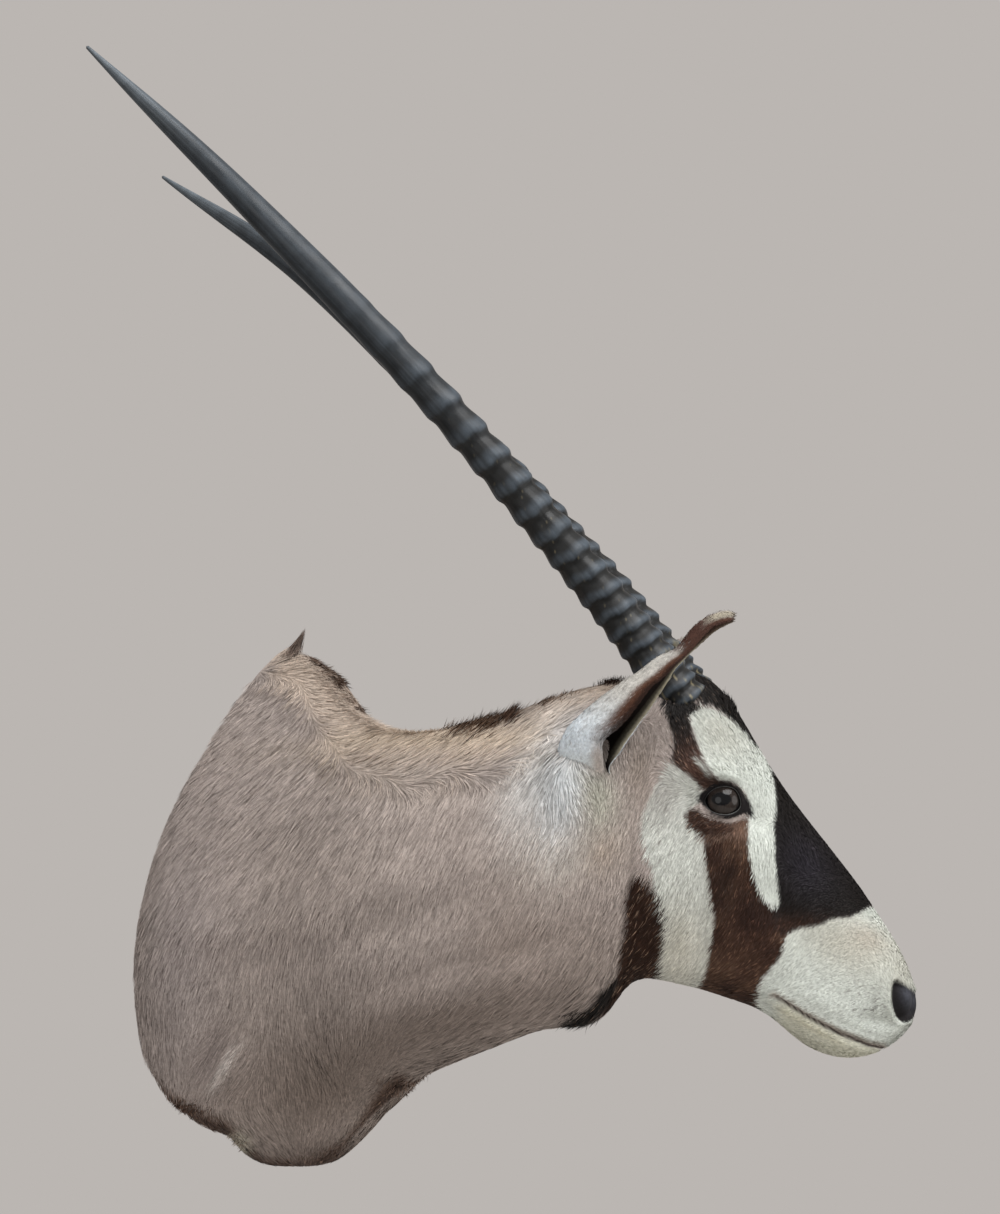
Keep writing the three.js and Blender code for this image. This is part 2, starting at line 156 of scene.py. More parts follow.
def curve_through(points, count):
    """Even steps along a centripetal Catmull-Rom curve through points."""
    p = np.asarray(points, float)
    p = np.concatenate([[2 * p[0] - p[1]], p, [2 * p[-1] - p[-2]]])
    knots = np.concatenate([[0], np.cumsum(np.sqrt(np.linalg.norm(np.diff(p, axis=0), axis=1)))])
    dense = []
    for i in range(1, len(p) - 2):
        k0, k1, k2, k3 = knots[i - 1:i + 3]
        x = np.linspace(k1, k2, CURVE_STEPS, endpoint=i == len(p) - 3)[:, None]
        a1 = (k1 - x) / (k1 - k0) * p[i - 1] + (x - k0) / (k1 - k0) * p[i]
        a2 = (k2 - x) / (k2 - k1) * p[i] + (x - k1) / (k2 - k1) * p[i + 1]
        a3 = (k3 - x) / (k3 - k2) * p[i + 1] + (x - k2) / (k3 - k2) * p[i + 2]
        b1 = (k2 - x) / (k2 - k0) * a1 + (x - k0) / (k2 - k0) * a2
        b2 = (k3 - x) / (k3 - k1) * a2 + (x - k1) / (k3 - k1) * a3
        dense.append((k2 - x) / (k2 - k1) * b1 + (x - k1) / (k2 - k1) * b2)
    dense = np.concatenate(dense)
    along = np.concatenate([[0], np.cumsum(np.linalg.norm(np.diff(dense, axis=0), axis=1))])
    steps = np.linspace(0, along[-1], count)
    return np.stack([np.interp(steps, along, dense[:, k]) for k in range(3)], axis=1), along[-1]


NOISE_SIZE = 32
NOISE_TABLE = RNG.random((NOISE_SIZE,) * 3)


def noise(p, cell):
    """Smooth value noise from -1 to 1 at points p, with features about cell apart."""
    q = np.asarray(p, float) / cell + 1000.0
    i = np.floor(q).astype(int)
    f = q - i
    f = f * f * (3 - 2 * f)
    total = 0.0
    for corner in np.ndindex(2, 2, 2):
        c = np.array(corner)
        weight = np.prod(np.where(c, f, 1 - f), axis=-1)
        index = (i + c) % NOISE_SIZE
        total = total + weight * NOISE_TABLE[index[..., 0], index[..., 1], index[..., 2]]
    return total * 2 - 1


def linear(rgb):
    """An sRGB colour of 0 to 255 as linear light."""
    c = np.asarray(rgb, float) / 255
    return np.where(c <= 0.04045, c / 12.92, ((c + 0.055) / 1.055) ** 2.4)


def linear_grey(colour):
    """How light a linear colour is, from 0 to 1."""
    return colour @ np.array([0.25, 0.6, 0.15])


def bend(s, w, z):
    """Points s along the neck, w to the animal's left of its middle plane, and z up, in the frame."""
    s, w, z = np.broadcast_arrays(np.asarray(s, float), w, z)
    turned = np.clip((s - NECK_STRAIGHT) / NECK_BEND_R, 0, NECK_TURN)
    straight = np.minimum(s, NECK_STRAIGHT)
    past = np.maximum(s - HEAD_START, 0)
    x = NECK_BEND_R * (1 - np.cos(turned)) + past * np.sin(turned) + w * np.cos(turned)
    y = -straight - NECK_BEND_R * np.sin(turned) - past * np.cos(turned) + w * np.sin(turned)
    return np.stack([x, y, z], axis=-1)


def leftward(s):
    """The way to the animal's left at s along the neck."""
    turned = np.clip((s - NECK_STRAIGHT) / NECK_BEND_R, 0, NECK_TURN)
    return np.stack([np.cos(turned), np.sin(turned), np.zeros_like(turned)], axis=-1)


def head_point(uvz):
    """A point of the head's own straight frame: u along the face, v to the left, z up."""
    u, v, z = np.moveaxis(np.asarray(uvz, float), -1, 0)
    return HEAD_ORIGIN + u[..., None] * ALONG_FACE + v[..., None] * TO_LEFT + z[..., None] * UP


# ======================================================== camera and the side view it sees
YAW = atan((FOOT_PX[0] - IMAGE_PX[0] / 2) / FOCAL_PX)
PITCH = atan((FOOT_PX[1] - IMAGE_PX[1] / 2) / FOCAL_PX * cos(YAW))
LOOK = unit((TO_LEFT * cos(YAW) - ALONG_FACE * sin(YAW)) * cos(PITCH) + UP * sin(PITCH))
LOOK_RIGHT = unit(np.cross(LOOK, UP))
LOOK_UP = np.cross(LOOK_RIGHT, LOOK)
EYE_POINT = HEAD_ORIGIN + ALONG_FACE * CAMERA_ALONG - TO_LEFT * CAMERA_AWAY + UP * CAMERA_HEIGHT


def side_view(p):
    """Where the camera sees points of the animal's right side, in pixels. Both sides are marked by it."""
    q = np.asarray(p) - EYE_POINT
    deep = q @ LOOK
    across = IMAGE_PX[0] / 2 + FOCAL_PX * (q @ LOOK_RIGHT) / deep
    down = IMAGE_PX[1] / 2 - FOCAL_PX * (q @ LOOK_UP) / deep
    return np.stack([across, down], axis=-1)
def across_view(way):
    """A way across the side view, right and down, as a way in the frame."""
    return way[..., :1] * LOOK_RIGHT - way[..., 1:] * LOOK_UP


def from_side_view(px, v):
    """The point seen at px that lies v to the left of the head's middle plane."""
    ray = LOOK * FOCAL_PX + across_view(np.asarray(px, float) - np.array(IMAGE_PX) / 2)
    reach = (v + CAMERA_AWAY) / (ray @ TO_LEFT)
    return EYE_POINT + ray * np.asarray(reach)[..., None]


def add_camera():
    data = bpy.data.cameras.new("camera")
    data.sensor_fit = "AUTO"
    data.sensor_width = SENSOR_MM
    data.lens = FOCAL_PX / IMAGE_PX[1] * SENSOR_MM
    camera = bpy.data.objects.new("camera", data)
    bpy.context.scene.collection.objects.link(camera)
    camera.location = Vector(EYE_POINT * MM)
    camera.rotation_euler = Vector(LOOK).to_track_quat("-Z", "Y").to_euler()
    bpy.context.scene.camera = camera


# ======================================================== outlines in the side view
def rounded(outline, passes=2):
    """A closed outline with its corners cut, so that it runs smoothly."""
    p = np.asarray(outline, float)
    for _ in range(passes):
        q = np.roll(p, -1, axis=0)
        p = np.stack([p * 0.75 + q * 0.25, p * 0.25 + q * 0.75], axis=1).reshape(-1, 2)
    return p


def distance_to_line(px, line):
    """How far points are from a line through points."""
    p = np.asarray(px, float).reshape(-1, 2)
    line = np.asarray(line, float)
    best = np.full(len(p), 1e9)
    for a, b in zip(line[:-1], line[1:]):
        k = np.clip(((p - a) @ (b - a)) / max((b - a) @ (b - a), 1e-9), 0, 1)
        d = ((p - a - k[:, None] * (b - a)) ** 2).sum(axis=1)
        best = np.minimum(best, d)
    return np.sqrt(best).reshape(np.shape(px)[:-1])


def inside(px, outline, soft):
    """1 inside a closed outline and 0 outside, with an edge soft pixels wide."""
    every = np.asarray(px, float).reshape(-1, 2)
    ring = rounded(outline)
    close = np.all((every > ring.min(axis=0) - soft) & (every < ring.max(axis=0) + soft), axis=1)
    share = np.zeros(len(every))
    p = every[close]
    closed = np.concatenate([ring, ring[:1]])
    crossed = np.zeros(len(p), bool)
    for a, b in zip(closed[:-1], closed[1:]):
        spans = (a[1] > p[:, 1]) != (b[1] > p[:, 1])
        if a[1] != b[1]:
            crossed ^= spans & (p[:, 0] < (b[0] - a[0]) * (p[:, 1] - a[1]) / (b[1] - a[1]) + a[0])
    far = distance_to_line(p, closed)
    share[close] = smooth(np.where(crossed, far, -far), -soft, soft)
    return share.reshape(np.shape(px)[:-1])


def spot(px, centre, reach, lean=0.0):
    """A soft round spot; reach is its size along and across lean degrees."""
    d = np.asarray(px) - np.asarray(centre, float)
    a = radians(lean)
    along = d[..., 0] * cos(a) + d[..., 1] * sin(a)
    across = -d[..., 0] * sin(a) + d[..., 1] * cos(a)
    return np.exp(-((along / reach[0]) ** 2) - (across / reach[1]) ** 2)


# ======================================================== the colours of the coat
TAUPE = (168, 157, 151)
# The next colour is the taupe in painted shade, used towards the neck's lower edge.
TAUPE_SHADED = (122, 110, 102)
TAUPE_GREY = (154, 145, 143)
TAN = (203, 187, 172)
WHITE = (208, 213, 206)
CREAM = (196, 192, 178)
BROWN = (55, 36, 27)
BLACK = (21, 17, 15)
SKIN_BLACK = (24, 21, 22)

WHITE_STRIPE = [
    (690, 712), (707, 708), (725, 716), (740, 728), (753, 740), (763, 753), (772, 772), (776, 790),
    (777, 810), (774, 830), (775, 850), (777, 869), (779, 888), (781, 903), (774, 908), (765, 900),
    (758, 888), (753, 873), (749, 854), (747, 834), (749, 820), (752, 813), (744, 792), (734, 783),
    (720, 780), (710, 770), (704, 757), (699, 745), (694, 732),
]
HORN_TO_EYE = [
    (655, 700), (664, 717), (672, 732), (675, 745), (671, 762), (682, 771), (699, 782), (705, 789),
    (722, 790), (745, 795), (733, 783), (719, 780), (709, 770), (703, 757), (698, 745), (692, 731),
    (690, 712), (680, 700),
]
UNDER_EYE = [
    (686, 817), (688, 809), (696, 807), (704, 812), (714, 818), (727, 821), (740, 820), (750, 818),
    (751, 836), (747, 846), (707, 846), (704, 837), (697, 832), (690, 827),
]
CHEEK_STRIPE = [
    (708, 834), (704, 849), (708, 867), (710, 886), (713, 902), (716, 917), (714, 934), (711, 950),
    (709, 966), (706, 981), (700, 992), (720, 1020), (770, 1030), (760, 1002), (760, 988), (765, 976),
    (774, 966), (783, 954), (785, 944), (789, 932), (786, 905), (776, 893), (767, 886), (761, 878),
    (755, 868), (751, 854), (748, 836),
]
NOSE_PATCH = [
    (745, 716), (756, 741), (766, 759), (771, 772), (775, 790), (775, 812), (773, 830), (774, 850),
    (776, 870), (775, 891), (775, 906), (772, 918), (780, 934), (789, 932), (800, 926), (819, 925),
    (834, 917), (849, 918), (862, 912), (873, 906), (900, 900), (880, 860), (850, 810), (800, 745),
    (770, 700),
]
HORN_FRONT = [
    (688, 672), (692, 696), (704, 707), (716, 708), (733, 722), (748, 737), (758, 752), (772, 752),
    (760, 716), (745, 690), (725, 660),
]
CHEEK_BAND = [
    (672, 763), (664, 776), (654, 790), (646, 806), (642, 822), (645, 842), (650, 856), (654, 872),
    (657, 890), (661, 909), (662, 930), (659, 949), (657, 961), (652, 975), (655, 1000), (715, 1000),
    (712, 964), (719, 934), (713, 904), (708, 867), (706, 845), (700, 830), (690, 818), (690, 810),
    (700, 803), (706, 789), (697, 781), (682, 771),
]
JAW_STRIPE = [
    (634, 872), (647, 875), (658, 889), (665, 909), (668, 930), (665, 949), (661, 964), (663, 976),
    (664, 988), (640, 1000), (600, 1012), (611, 988), (619, 970), (621, 956), (625, 938), (627, 918),
    (626, 902), (629, 885),
]
THROAT_TUFT = [
    (622, 975), (612, 996), (602, 1014), (588, 1030),
    (566, 1027), (590, 1010), (603, 990), (612, 975),
]
MUZZLE = [
    (789, 932), (785, 944), (783, 954), (774, 966), (764, 977), (760, 990), (758, 1010), (800, 1070),
    (930, 1070), (930, 940), (873, 905), (861, 912), (849, 918), (834, 917), (819, 925), (800, 926),
]
MANE_ABOVE = [
    (262, 676), (288, 684), (312, 712), (331, 752), (352, 770), (380, 775), (406, 773), (455, 770),
    (500, 765), (530, 742), (565, 715), (610, 695), (640, 690), (640, 640), (400, 640), (290, 610),
]
PART_LINE = [(250, 676), (288, 684), (312, 714), (331, 754), (356, 771), (406, 774), (455, 770), (514, 762)]
EYE_RIM = [
    (698, 796), (707, 788), (717, 784), (729, 784), (739, 789), (747, 799), (757, 820), (748, 816),
    (740, 816), (727, 818), (714, 815), (706, 807), (700, 801),
]
NOSTRIL = [
    (892, 984), (896, 980), (903, 984), (911, 990), (920, 996), (924, 1006), (918, 1014), (911, 1021),
    (905, 1024), (898, 1020), (893, 1010), (891, 997),
]
NOSTRIL_WING = (909, 996)
MOUTH_LINE = [
    (777, 996), (789, 1004), (806, 1015), (824, 1025),
    (839, 1033), (854, 1039), (869, 1045), (884, 1048),
]
LOWER_EDGE = [
    (148, 1082), (163, 1099), (189, 1112), (220, 1127), (237, 1148), (255, 1163), (285, 1168),
    (320, 1163), (350, 1148), (370, 1124), (385, 1100), (403, 1084),
]

# Soft spots of colour: centre, reach, lean in degrees, colour and strength. Some are painted shade or a
# painted highlight, as the notes on them say.
SPOTS = [
    # These two make the neck darker towards its lower edge: painted shade.
    ((470, 1010), (170, 45), -14, TAUPE_SHADED, 0.85),
    ((330, 1085), (115, 60), -10, (116, 103, 94), 0.75),
    ((180, 960), (45, 150), 5, TAUPE_GREY, 0.6),
    ((420, 820), (120, 40), 0, (176, 165, 158), 0.5),
    ((525, 865), (75, 115), 0, (138, 126, 118), 0.5),
    # Lighter: a painted highlight on the shoulder's bulge.
    ((262, 962), (45, 32), 0, (182, 171, 165), 0.5),
    ((540, 778), (36, 55), 10, (204, 204, 202), 0.75),
    ((570, 845), (45, 34), -20, (170, 163, 154), 0.7),
    ((563, 785), (19, 44), 4, (236, 241, 244), 0.95),
    ((600, 797), (20, 30), -15, (174, 174, 160), 0.85),
    # Darker: painted shade under the ear's lower edge.
    ((588, 777), (15, 8), 25, (150, 150, 140), 0.5),
    ((606, 848), (14, 16), 30, (166, 146, 124), 0.4),
    ((640, 770), (18, 36), 0, (150, 138, 128), 0.9),
    ((430, 745), (120, 12), 0, (205, 188, 166), 0.6),
    ((395, 778), (65, 15), 4, (200, 187, 176), 0.55),
    ((622, 845), (20, 40), 0, (150, 139, 130), 0.6),
    ((590, 945), (36, 55), 0, (136, 125, 117), 0.6),
    ((520, 930), (40, 40), 0, (148, 135, 126), 0.5),
    ((350, 870), (110, 60), 20, (160, 149, 141), 0.4),
    # Darker: painted shade in the crease in front of the shoulder.
    ((214, 1048), (12, 30), 20, (116, 106, 104), 0.5),
    ((229, 1060), (20, 5), -58, (218, 211, 206), 0.85),
    ((331, 684), (26, 8), 48, (122, 104, 91), 0.65),
    ((236, 1142), (11, 10), 40, (196, 190, 176), 0.9),
]
# The dark hair along the neck's crest: centre and reach in pixels, and its strength.
CREST_TUFTS = [
    ((297, 638), (9, 14), 0.9),
    ((478, 724), (22, 10), 0.85),
    ((506, 714), (9, 8), 0.7),
    ((540, 694), (20, 7), 0.2),
    ((604, 680), (18, 7), 0.9),
    ((700, 690), (30, 16), 0.6),
]

# Marks in the order they are painted: colour, strength, the outline they keep to and how soft its edge is,
# then the centre, reach and lean of the soft spot they fade with.
CHEEK_MARKS = [
    ((66, 50, 41), 0.55, None, 0, (312, 1150), (60, 17), -6),
    (CREAM, 0.9, None, 0, (237, 1141), (9, 9)),
    ((198, 201, 194), 1, CHEEK_BAND, 3),
    ((166, 164, 158), 0.9, CHEEK_BAND, 3, (662, 792), (24, 32)),
    ((208, 205, 192), 0.8, CHEEK_BAND, 3, (682, 950), (30, 45)),
    ((42, 24, 14), 1, JAW_STRIPE, 3.5),
    (BLACK, 1, THROAT_TUFT, 3),
    (BLACK, 1, HORN_TO_EYE, 2),
    ((84, 60, 50), 0.9, HORN_TO_EYE, 2, (698, 768), (22, 24)),
    (BROWN, 1, CHEEK_STRIPE, 1.6),
    (BROWN, 1, UNDER_EYE, 1.6),
]
PALE_MOTTLE = [((88, 66, 52), 0.6, CHEEK_STRIPE, 3)]
DARK_MOTTLE = [((38, 22, 16), 0.7, CHEEK_STRIPE, 3)]
FACE_MARKS = [
    ((96, 70, 55), 0.4, CHEEK_STRIPE, 3, (742, 862), (8, 20)),
    ((36, 24, 18), 0.5, CHEEK_STRIPE, 3, (727, 882), (12, 28)),
    ((92, 68, 54), 0.4, CHEEK_STRIPE, 3, (742, 958), (28, 20)),
    ((118, 92, 76), 0.8, UNDER_EYE, 3, (743, 828), (9, 10)),
    ((128, 104, 90), 0.8, None, 0, (724, 835), (20, 2.2), -4),
    (WHITE, 1, MUZZLE, 2),
    ((190, 187, 174), 0.8, MUZZLE, 3, (850, 945), (55, 26), 25),
    ((184, 172, 157), 0.5, MUZZLE, 3, (870, 938), (22, 12), 30),
    ((172, 168, 155), 0.5, MUZZLE, 3, (905, 975), (16, 40)),
    (BLACK, 1, NOSE_PATCH, 1.6),
    # Bluish: a painted sheen on the bare black nose.
    ((40, 37, 46), 0.6, NOSE_PATCH, 3, (806, 866), (24, 34), -35),
    (BROWN, 0.8, NOSE_PATCH, 3, (790, 925), (40, 12)),
    (WHITE, 1, WHITE_STRIPE, 1.6),
    ((182, 182, 172), 0.8, WHITE_STRIPE, 3, (722, 735), (34, 24), 40),
    (BLACK, 1, HORN_FRONT, 2.2),
    (BLACK, 1, None, 0, (694, 672), (30, 16), 30),
]
CHEEK_FLECKS_AT = [
    (650, 815), (655, 822), (662, 838), (668, 806), (672, 850), (661, 858), (661, 826), (655, 845),
]
CHEEK_FLECKS = [((92, 84, 78), 0.7, None, 0, centre, (3.4, 1.2), -50) for centre in CHEEK_FLECKS_AT]
WHISKER_ROOTS = [
    ((84, 78, 74), 0.75, None, 0, (872, 1012), (34, 16), 20),
    ((104, 96, 90), 0.35, None, 0, (862, 985), (44, 30), 20),
    ((110, 104, 98), 0.3, None, 0, (690, 850), (50, 60)),
]
BROW_FLECKS_AT = [(699, 762), (704, 768), (709, 774)]
BROW_FLECKS = [(WHITE, 0.8, None, 0, centre, (4, 2.2), 50) for centre in BROW_FLECKS_AT]
LOWER_LIP_HIGHLIGHT_AND_MARKS = [
    # A thin pale line along the lower lip: a painted highlight.
    ((206, 203, 182), 0.8, None, 0, (812, 1026), (34, 3.4), 31),
    ((158, 158, 144), 0.5, None, 0, (800, 1040), (40, 10), 28),
]
NOSTRIL_AND_HIGHLIGHT_MARKS = [
    (SKIN_BLACK, 1, NOSTRIL, 1),
    # Grey-blue on the nostril's wing: a painted highlight.
    ((70, 72, 80), 0.9, NOSTRIL, 1.5, NOSTRIL_WING, (8, 13), -12),
]


def mix(colour, other, share):
    return colour + (linear(other) - colour) * share[..., None]


def paint(colour, px, marks, over=1.0):
    """A colour with marks painted on it, as strongly as over lets them."""
    for tint, strength, outline, soft, *place in marks:
        share = over * (inside(px, outline, soft) if outline else np.ones(px.shape[:-1]))
        if place:
            share = share * spot(px, *place)
        colour = mix(colour, tint, share * strength)
    return colour


def flat_noise(px, cell):
    """Noise over the side view."""
    return noise(np.concatenate([px, px[..., :1] * 0], axis=-1), cell)


def coat_colour(px, jitter):
    """The coat's colour where the side view sees px. jitter moves the edges, as hairs cross them."""
    q = px + jitter
    colour = np.broadcast_to(linear(TAUPE), (*px.shape[:-1], 3)).copy()
    colour = mix(colour, TAN, inside(q, MANE_ABOVE, 9) * 0.9)
    for centre, reach, lean, tint, strength in SPOTS:
        colour = mix(colour, tint, spot(q, centre, reach, lean) * strength)
    for centre, reach, strength in CREST_TUFTS:
        colour = mix(colour, BROWN, spot(q, centre, reach) ** 0.8 * strength)
    far = distance_to_line(q, LOWER_EDGE)
    colour = mix(colour, (84, 62, 50), smooth(-far, -17, -4) * 0.85)
    colour = mix(colour, (50, 33, 24), smooth(-far, -8, -1) * 0.8)
    colour = paint(colour, q, CHEEK_MARKS)
    mottle = flat_noise(q, 17.0)
    colour = paint(colour, q, PALE_MOTTLE, smooth(mottle, 0.0, 0.8))
    colour = paint(colour, q, DARK_MOTTLE, smooth(-mottle, 0.0, 0.7))
    colour = paint(colour, q, FACE_MARKS)
    colour = paint(colour, px, CHEEK_FLECKS)
    colour = paint(colour, px, WHISKER_ROOTS, smooth(flat_noise(px, 2.6), 0.62, 0.8))
    colour = paint(colour, q, BROW_FLECKS)
    return skin_colour(colour, px)


def skin_colour(colour, px):
    """The coat's colour with the bare skin round the eye, the mouth and the nostril painted on it, and
    painted highlights on the lower lip and the nostril's wing.
    """
    colour = mix(colour, SKIN_BLACK, inside(px, EYE_RIM, 0.8))
    far = distance_to_line(px, MOUTH_LINE)
    below = smooth(px[..., 1] - np.interp(px[..., 0], *np.array(MOUTH_LINE).T), 0, 4)
    lip = smooth(px[..., 0], 770, 790) * below
    colour = mix(colour, (218, 217, 199), lip * 0.8)
    colour = mix(colour, (150, 130, 118), smooth(-far, -8, -1) * (1 - below) * 0.7)
    colour = paint(colour, px, LOWER_LIP_HIGHLIGHT_AND_MARKS, below)
    colour = mix(colour, (62, 52, 50), smooth(-far, -1.8, -0.4))
    return paint(colour, px, NOSTRIL_AND_HIGHLIGHT_MARKS)


# ======================================================== hair flow in the side view
# Where, and the way that hair points there: right and down.
FLOW = np.array([
    (190, 760, -0.55, 0.83), (150, 900, -0.35, 0.94), (160, 1050, -0.2, 0.98), (260, 720, -0.62, 0.78),
    (250, 820, -0.55, 0.83), (240, 950, -0.45, 0.89), (290, 700, -0.5, 0.86), (310, 760, -0.45, 0.9),
    (330, 850, -0.35, 0.94), (230, 1060, -0.6, 0.8), (330, 960, -0.28, 0.96), (290, 1060, -0.1, 1.0),
    (260, 1130, 0.35, 0.93), (330, 1120, -0.3, 0.95), (380, 1050, -0.45, 0.9), (360, 800, -0.35, 0.94),
    (420, 850, -0.3, 0.95), (430, 950, -0.4, 0.92), (440, 1030, -0.7, 0.7), (520, 1010, -0.75, 0.66),
    (520, 900, -0.42, 0.91), (450, 800, -0.3, 0.95), (520, 800, -0.4, 0.92), (590, 870, -0.3, 0.95),
    (600, 960, -0.45, 0.89), (590, 1000, -0.7, 0.7), (560, 830, -0.45, 0.89), (548, 752, -0.6, 0.8),
    (540, 780, -0.5, 0.87), (562, 800, 0.1, 1.0), (576, 784, 0.45, 0.89), (586, 804, 0.5, 0.87),
    (610, 795, -0.35, 0.94), (598, 824, -0.4, 0.92), (300, 660, 0.75, 0.1), (320, 690, 0.85, 0.15),
    (345, 720, 0.9, 0.1), (370, 748, 0.92, -0.25), (420, 752, 0.9, -0.4), (470, 745, 0.85, -0.5),
    (510, 735, 0.75, -0.65), (540, 715, 0.7, -0.7), (580, 700, 0.75, -0.65), (615, 690, 0.8, -0.55),
    (290, 645, 0.5, -0.85), (640, 740, 0.1, 1.0), (640, 800, -0.3, 0.95), (650, 700, 0.3, -0.95),
    (670, 820, -0.5, 0.86), (680, 880, -0.35, 0.94), (690, 950, -0.45, 0.89), (640, 900, -0.5, 0.87),
    (640, 950, -0.5, 0.87), (685, 745, -0.3, -0.95), (690, 770, -0.7, -0.7), (720, 745, -0.4, -0.9),
    (745, 765, -0.5, -0.85), (735, 710, -0.35, -0.94), (760, 790, -0.1, -1.0), (762, 850, -0.1, 1.0),
    (772, 895, -0.3, 0.95), (730, 860, -0.35, 0.94), (735, 930, -0.5, 0.87), (730, 990, -0.85, 0.5),
    (800, 850, -0.45, -0.9), (830, 890, -0.9, 0.1), (800, 910, -0.7, 0.7), (790, 960, -0.75, 0.66),
    (850, 950, -0.85, 0.5), (880, 960, -0.75, -0.66), (860, 1000, -0.9, 0.4), (820, 1000, -0.9, 0.4),
    (840, 1050, -0.95, -0.2), (790, 1020, -0.9, 0.2), (895, 970, -0.3, -0.95), (700, 800, -0.9, 0.4),
])


def flow(px):
    """The way that hair points at px, in the side view, blended from the nearest places in FLOW."""
    p = px.reshape(-1, 2)
    total = np.zeros_like(p)
    for row in FLOW:
        far = ((p - row[:2]) ** 2).sum(axis=1)
        total += row[2:] / (far + 60.0)[:, None] ** 2
    return unit(total).reshape(px.shape)


# ======================================================== sheets: grids of points that carry hair
class Sheet:
    """A grid of surface points with normals. px is each point's place in the side view, or that of its twin
    on the right side; mirror is the way to the left where a point has such a twin, and zero elsewhere."""

    def __init__(self, points, px, mirror, outward):
        self.points = points
        self.px = px
        self.mirror = mirror
        self.normals = grid_normals(points)
        if np.mean(np.sum(self.normals * outward, axis=-1)) < 0:
            self.normals = -self.normals
        self.along = unit(np.gradient(points, axis=0))


def grid_normals(p):
    down = np.gradient(p, axis=0)
    across = np.gradient(p, axis=1)
    if np.allclose(p[:, 0], p[:, -1]):
        seam = (p[:, 1] - p[:, -2]) / 2
        across[:, 0] = seam
        across[:, -1] = seam
    return unit(np.cross(down, across))


def loft(t, angle):
    """Points of the plain hide as s, w, z; angle runs from the top over the animal's left side."""
    top_s, top_z, low_s, low_z, half, round_top, round_low, skew = np.moveaxis(spline(STATIONS, t), -1, 0)
    c, n = np.cos(angle), np.sin(angle)
    power = 2 / np.where(c < 0, round_low, round_top)
    up = np.sign(c) * np.abs(c) ** power
    rest = RIDGE_SOFT ** (2 / power)
    rise = ((up**2 + RIDGE_SOFT**2) ** (1 / power) - rest) / ((1 + RIDGE_SOFT**2) ** (1 / power) - rest)
    out = np.sign(n) * np.clip(1 - rise, 0, 1) ** (power / 2)
    s = (top_s + low_s) / 2 + up * (top_s - low_s) / 2
    z = (top_z + low_z) / 2 + up * (top_z - low_z) / 2
    swell = sum(far * np.exp(-((s - a) / c1) ** 2 - ((z - b) / c2) ** 2) for a, b, c1, c2, far in SWELLINGS)
    w = out * (half * (1 + skew * up) + swell * np.abs(out))
    return s + HIDE_BACK * (1 - t), w, z


EYE_CENTRE = (541.0, 62.5, 85.5)
EYE_R = 17.5
SOCKET_REACH = 26.0
# Forms over the plain loft: how far they stand out in millimetres, centre, reach and lean in the side view.
SIDE_FORMS = [
    (3.0, (722, 776), (26, 8), 22),  # brow over the eye
    (-3.5, (757, 822), (15, 12), 40),  # hollow in front of the eye
    (-3.0, (690, 800), (14, 16)),  # hollow behind the eye
    (3.0, (742, 850), (46, 10), 62),  # crest of the cheek
    (-2.5, (775, 900), (60, 14), 58),  # side of the nose
    (4.0, (668, 890), (34, 60), 12),  # jaw muscle
    (-3.5, (702, 905), (8, 50), 8),  # front edge of the jaw muscle
    (-5.0, (628, 900), (13, 70), 4),  # behind the jaw
    (3.0, (725, 978), (60, 12), 14),  # lower edge of the jaw
    (-3.0, (612, 965), (18, 30), 20),  # throat, at its sides
    (3.5, (886, 985), (14, 28), -12),  # wing of the nostril
    (-3.0, (880, 1022), (26, 8), 12),  # under the nostril
    (2.5, (835, 1012), (48, 14), 24),  # upper lip
    (2.0, (835, 1046), (36, 7), 14),  # lower lip
    (23.0, (574, 779), (25, 37), 10),  # base of the ear
    (-6.0, (690, 704), (26, 13), 15),  # round the horn's base
    (-5.0, (636, 745), (16, 34), 25),  # hollow between ear and eye
    (-4.0, (214, 1050), (12, 36), 28),  # crease in front of the shoulder
    (3.5, (240, 1066), (20, 34), 35),  # roll in front of that crease
    (-4.0, (300, 1010), (30, 90), 12),  # between shoulder and brisket
    (3.0, (420, 880), (110, 26), -16),  # long muscle of the neck
    (-3.0, (470, 960), (120, 20), -14),  # groove below that muscle
]
MIDDLE_FORMS = [  # these run on over the middle plane
    (-7.0, (224, 1142), (17, 13), 30),  # notch in the lower edge
    (4.0, (266, 1160), (24, 11), 10),  # lower edge in front of the notch
    (3.0, (166, 1102), (14, 22), -40),  # lower edge behind the notch
    (-3.5, (560, 1030), (50, 14)),  # throat
]
EAR_CREASES = (588, 775)  # the skin's fine creases run round this place under the ear


def sculpt(px, w):
    """How far the hide stands out from the plain loft, in millimetres, by place in the side view."""
    side = smooth(np.abs(w), 6, 30)
    out = sum(height * spot(px, *place) * side for height, *place in SIDE_FORMS)
    out = out + sum(height * spot(px, *place) for height, *place in MIDDLE_FORMS)
    crease = np.linalg.norm(px - EAR_CREASES, axis=-1)
    out = out + 0.9 * np.cos(crease * 0.75) * spot(px, (612, 802), (20, 30), -20) * side
    far = distance_to_line(px, PART_LINE)
    out = out + 2.0 * np.exp(-((far / 14) ** 2)) * side
    far = distance_to_line(px, MOUTH_LINE)
    out = out - 3.4 * np.exp(-((far / 2.3) ** 2)) * side
    out = out + 1.2 * np.exp(-(((far - 6) / 4) ** 2)) * side
    nostril = inside(px, NOSTRIL, 2.5)
    rim = inside(px, NOSTRIL, 7) * (1 - nostril)
    wing = spot(px, NOSTRIL_WING, (9, 15), -12)
    return out - 7.0 * nostril * (1 - wing) * smooth(np.abs(w), 2, 10) + 1.2 * rim


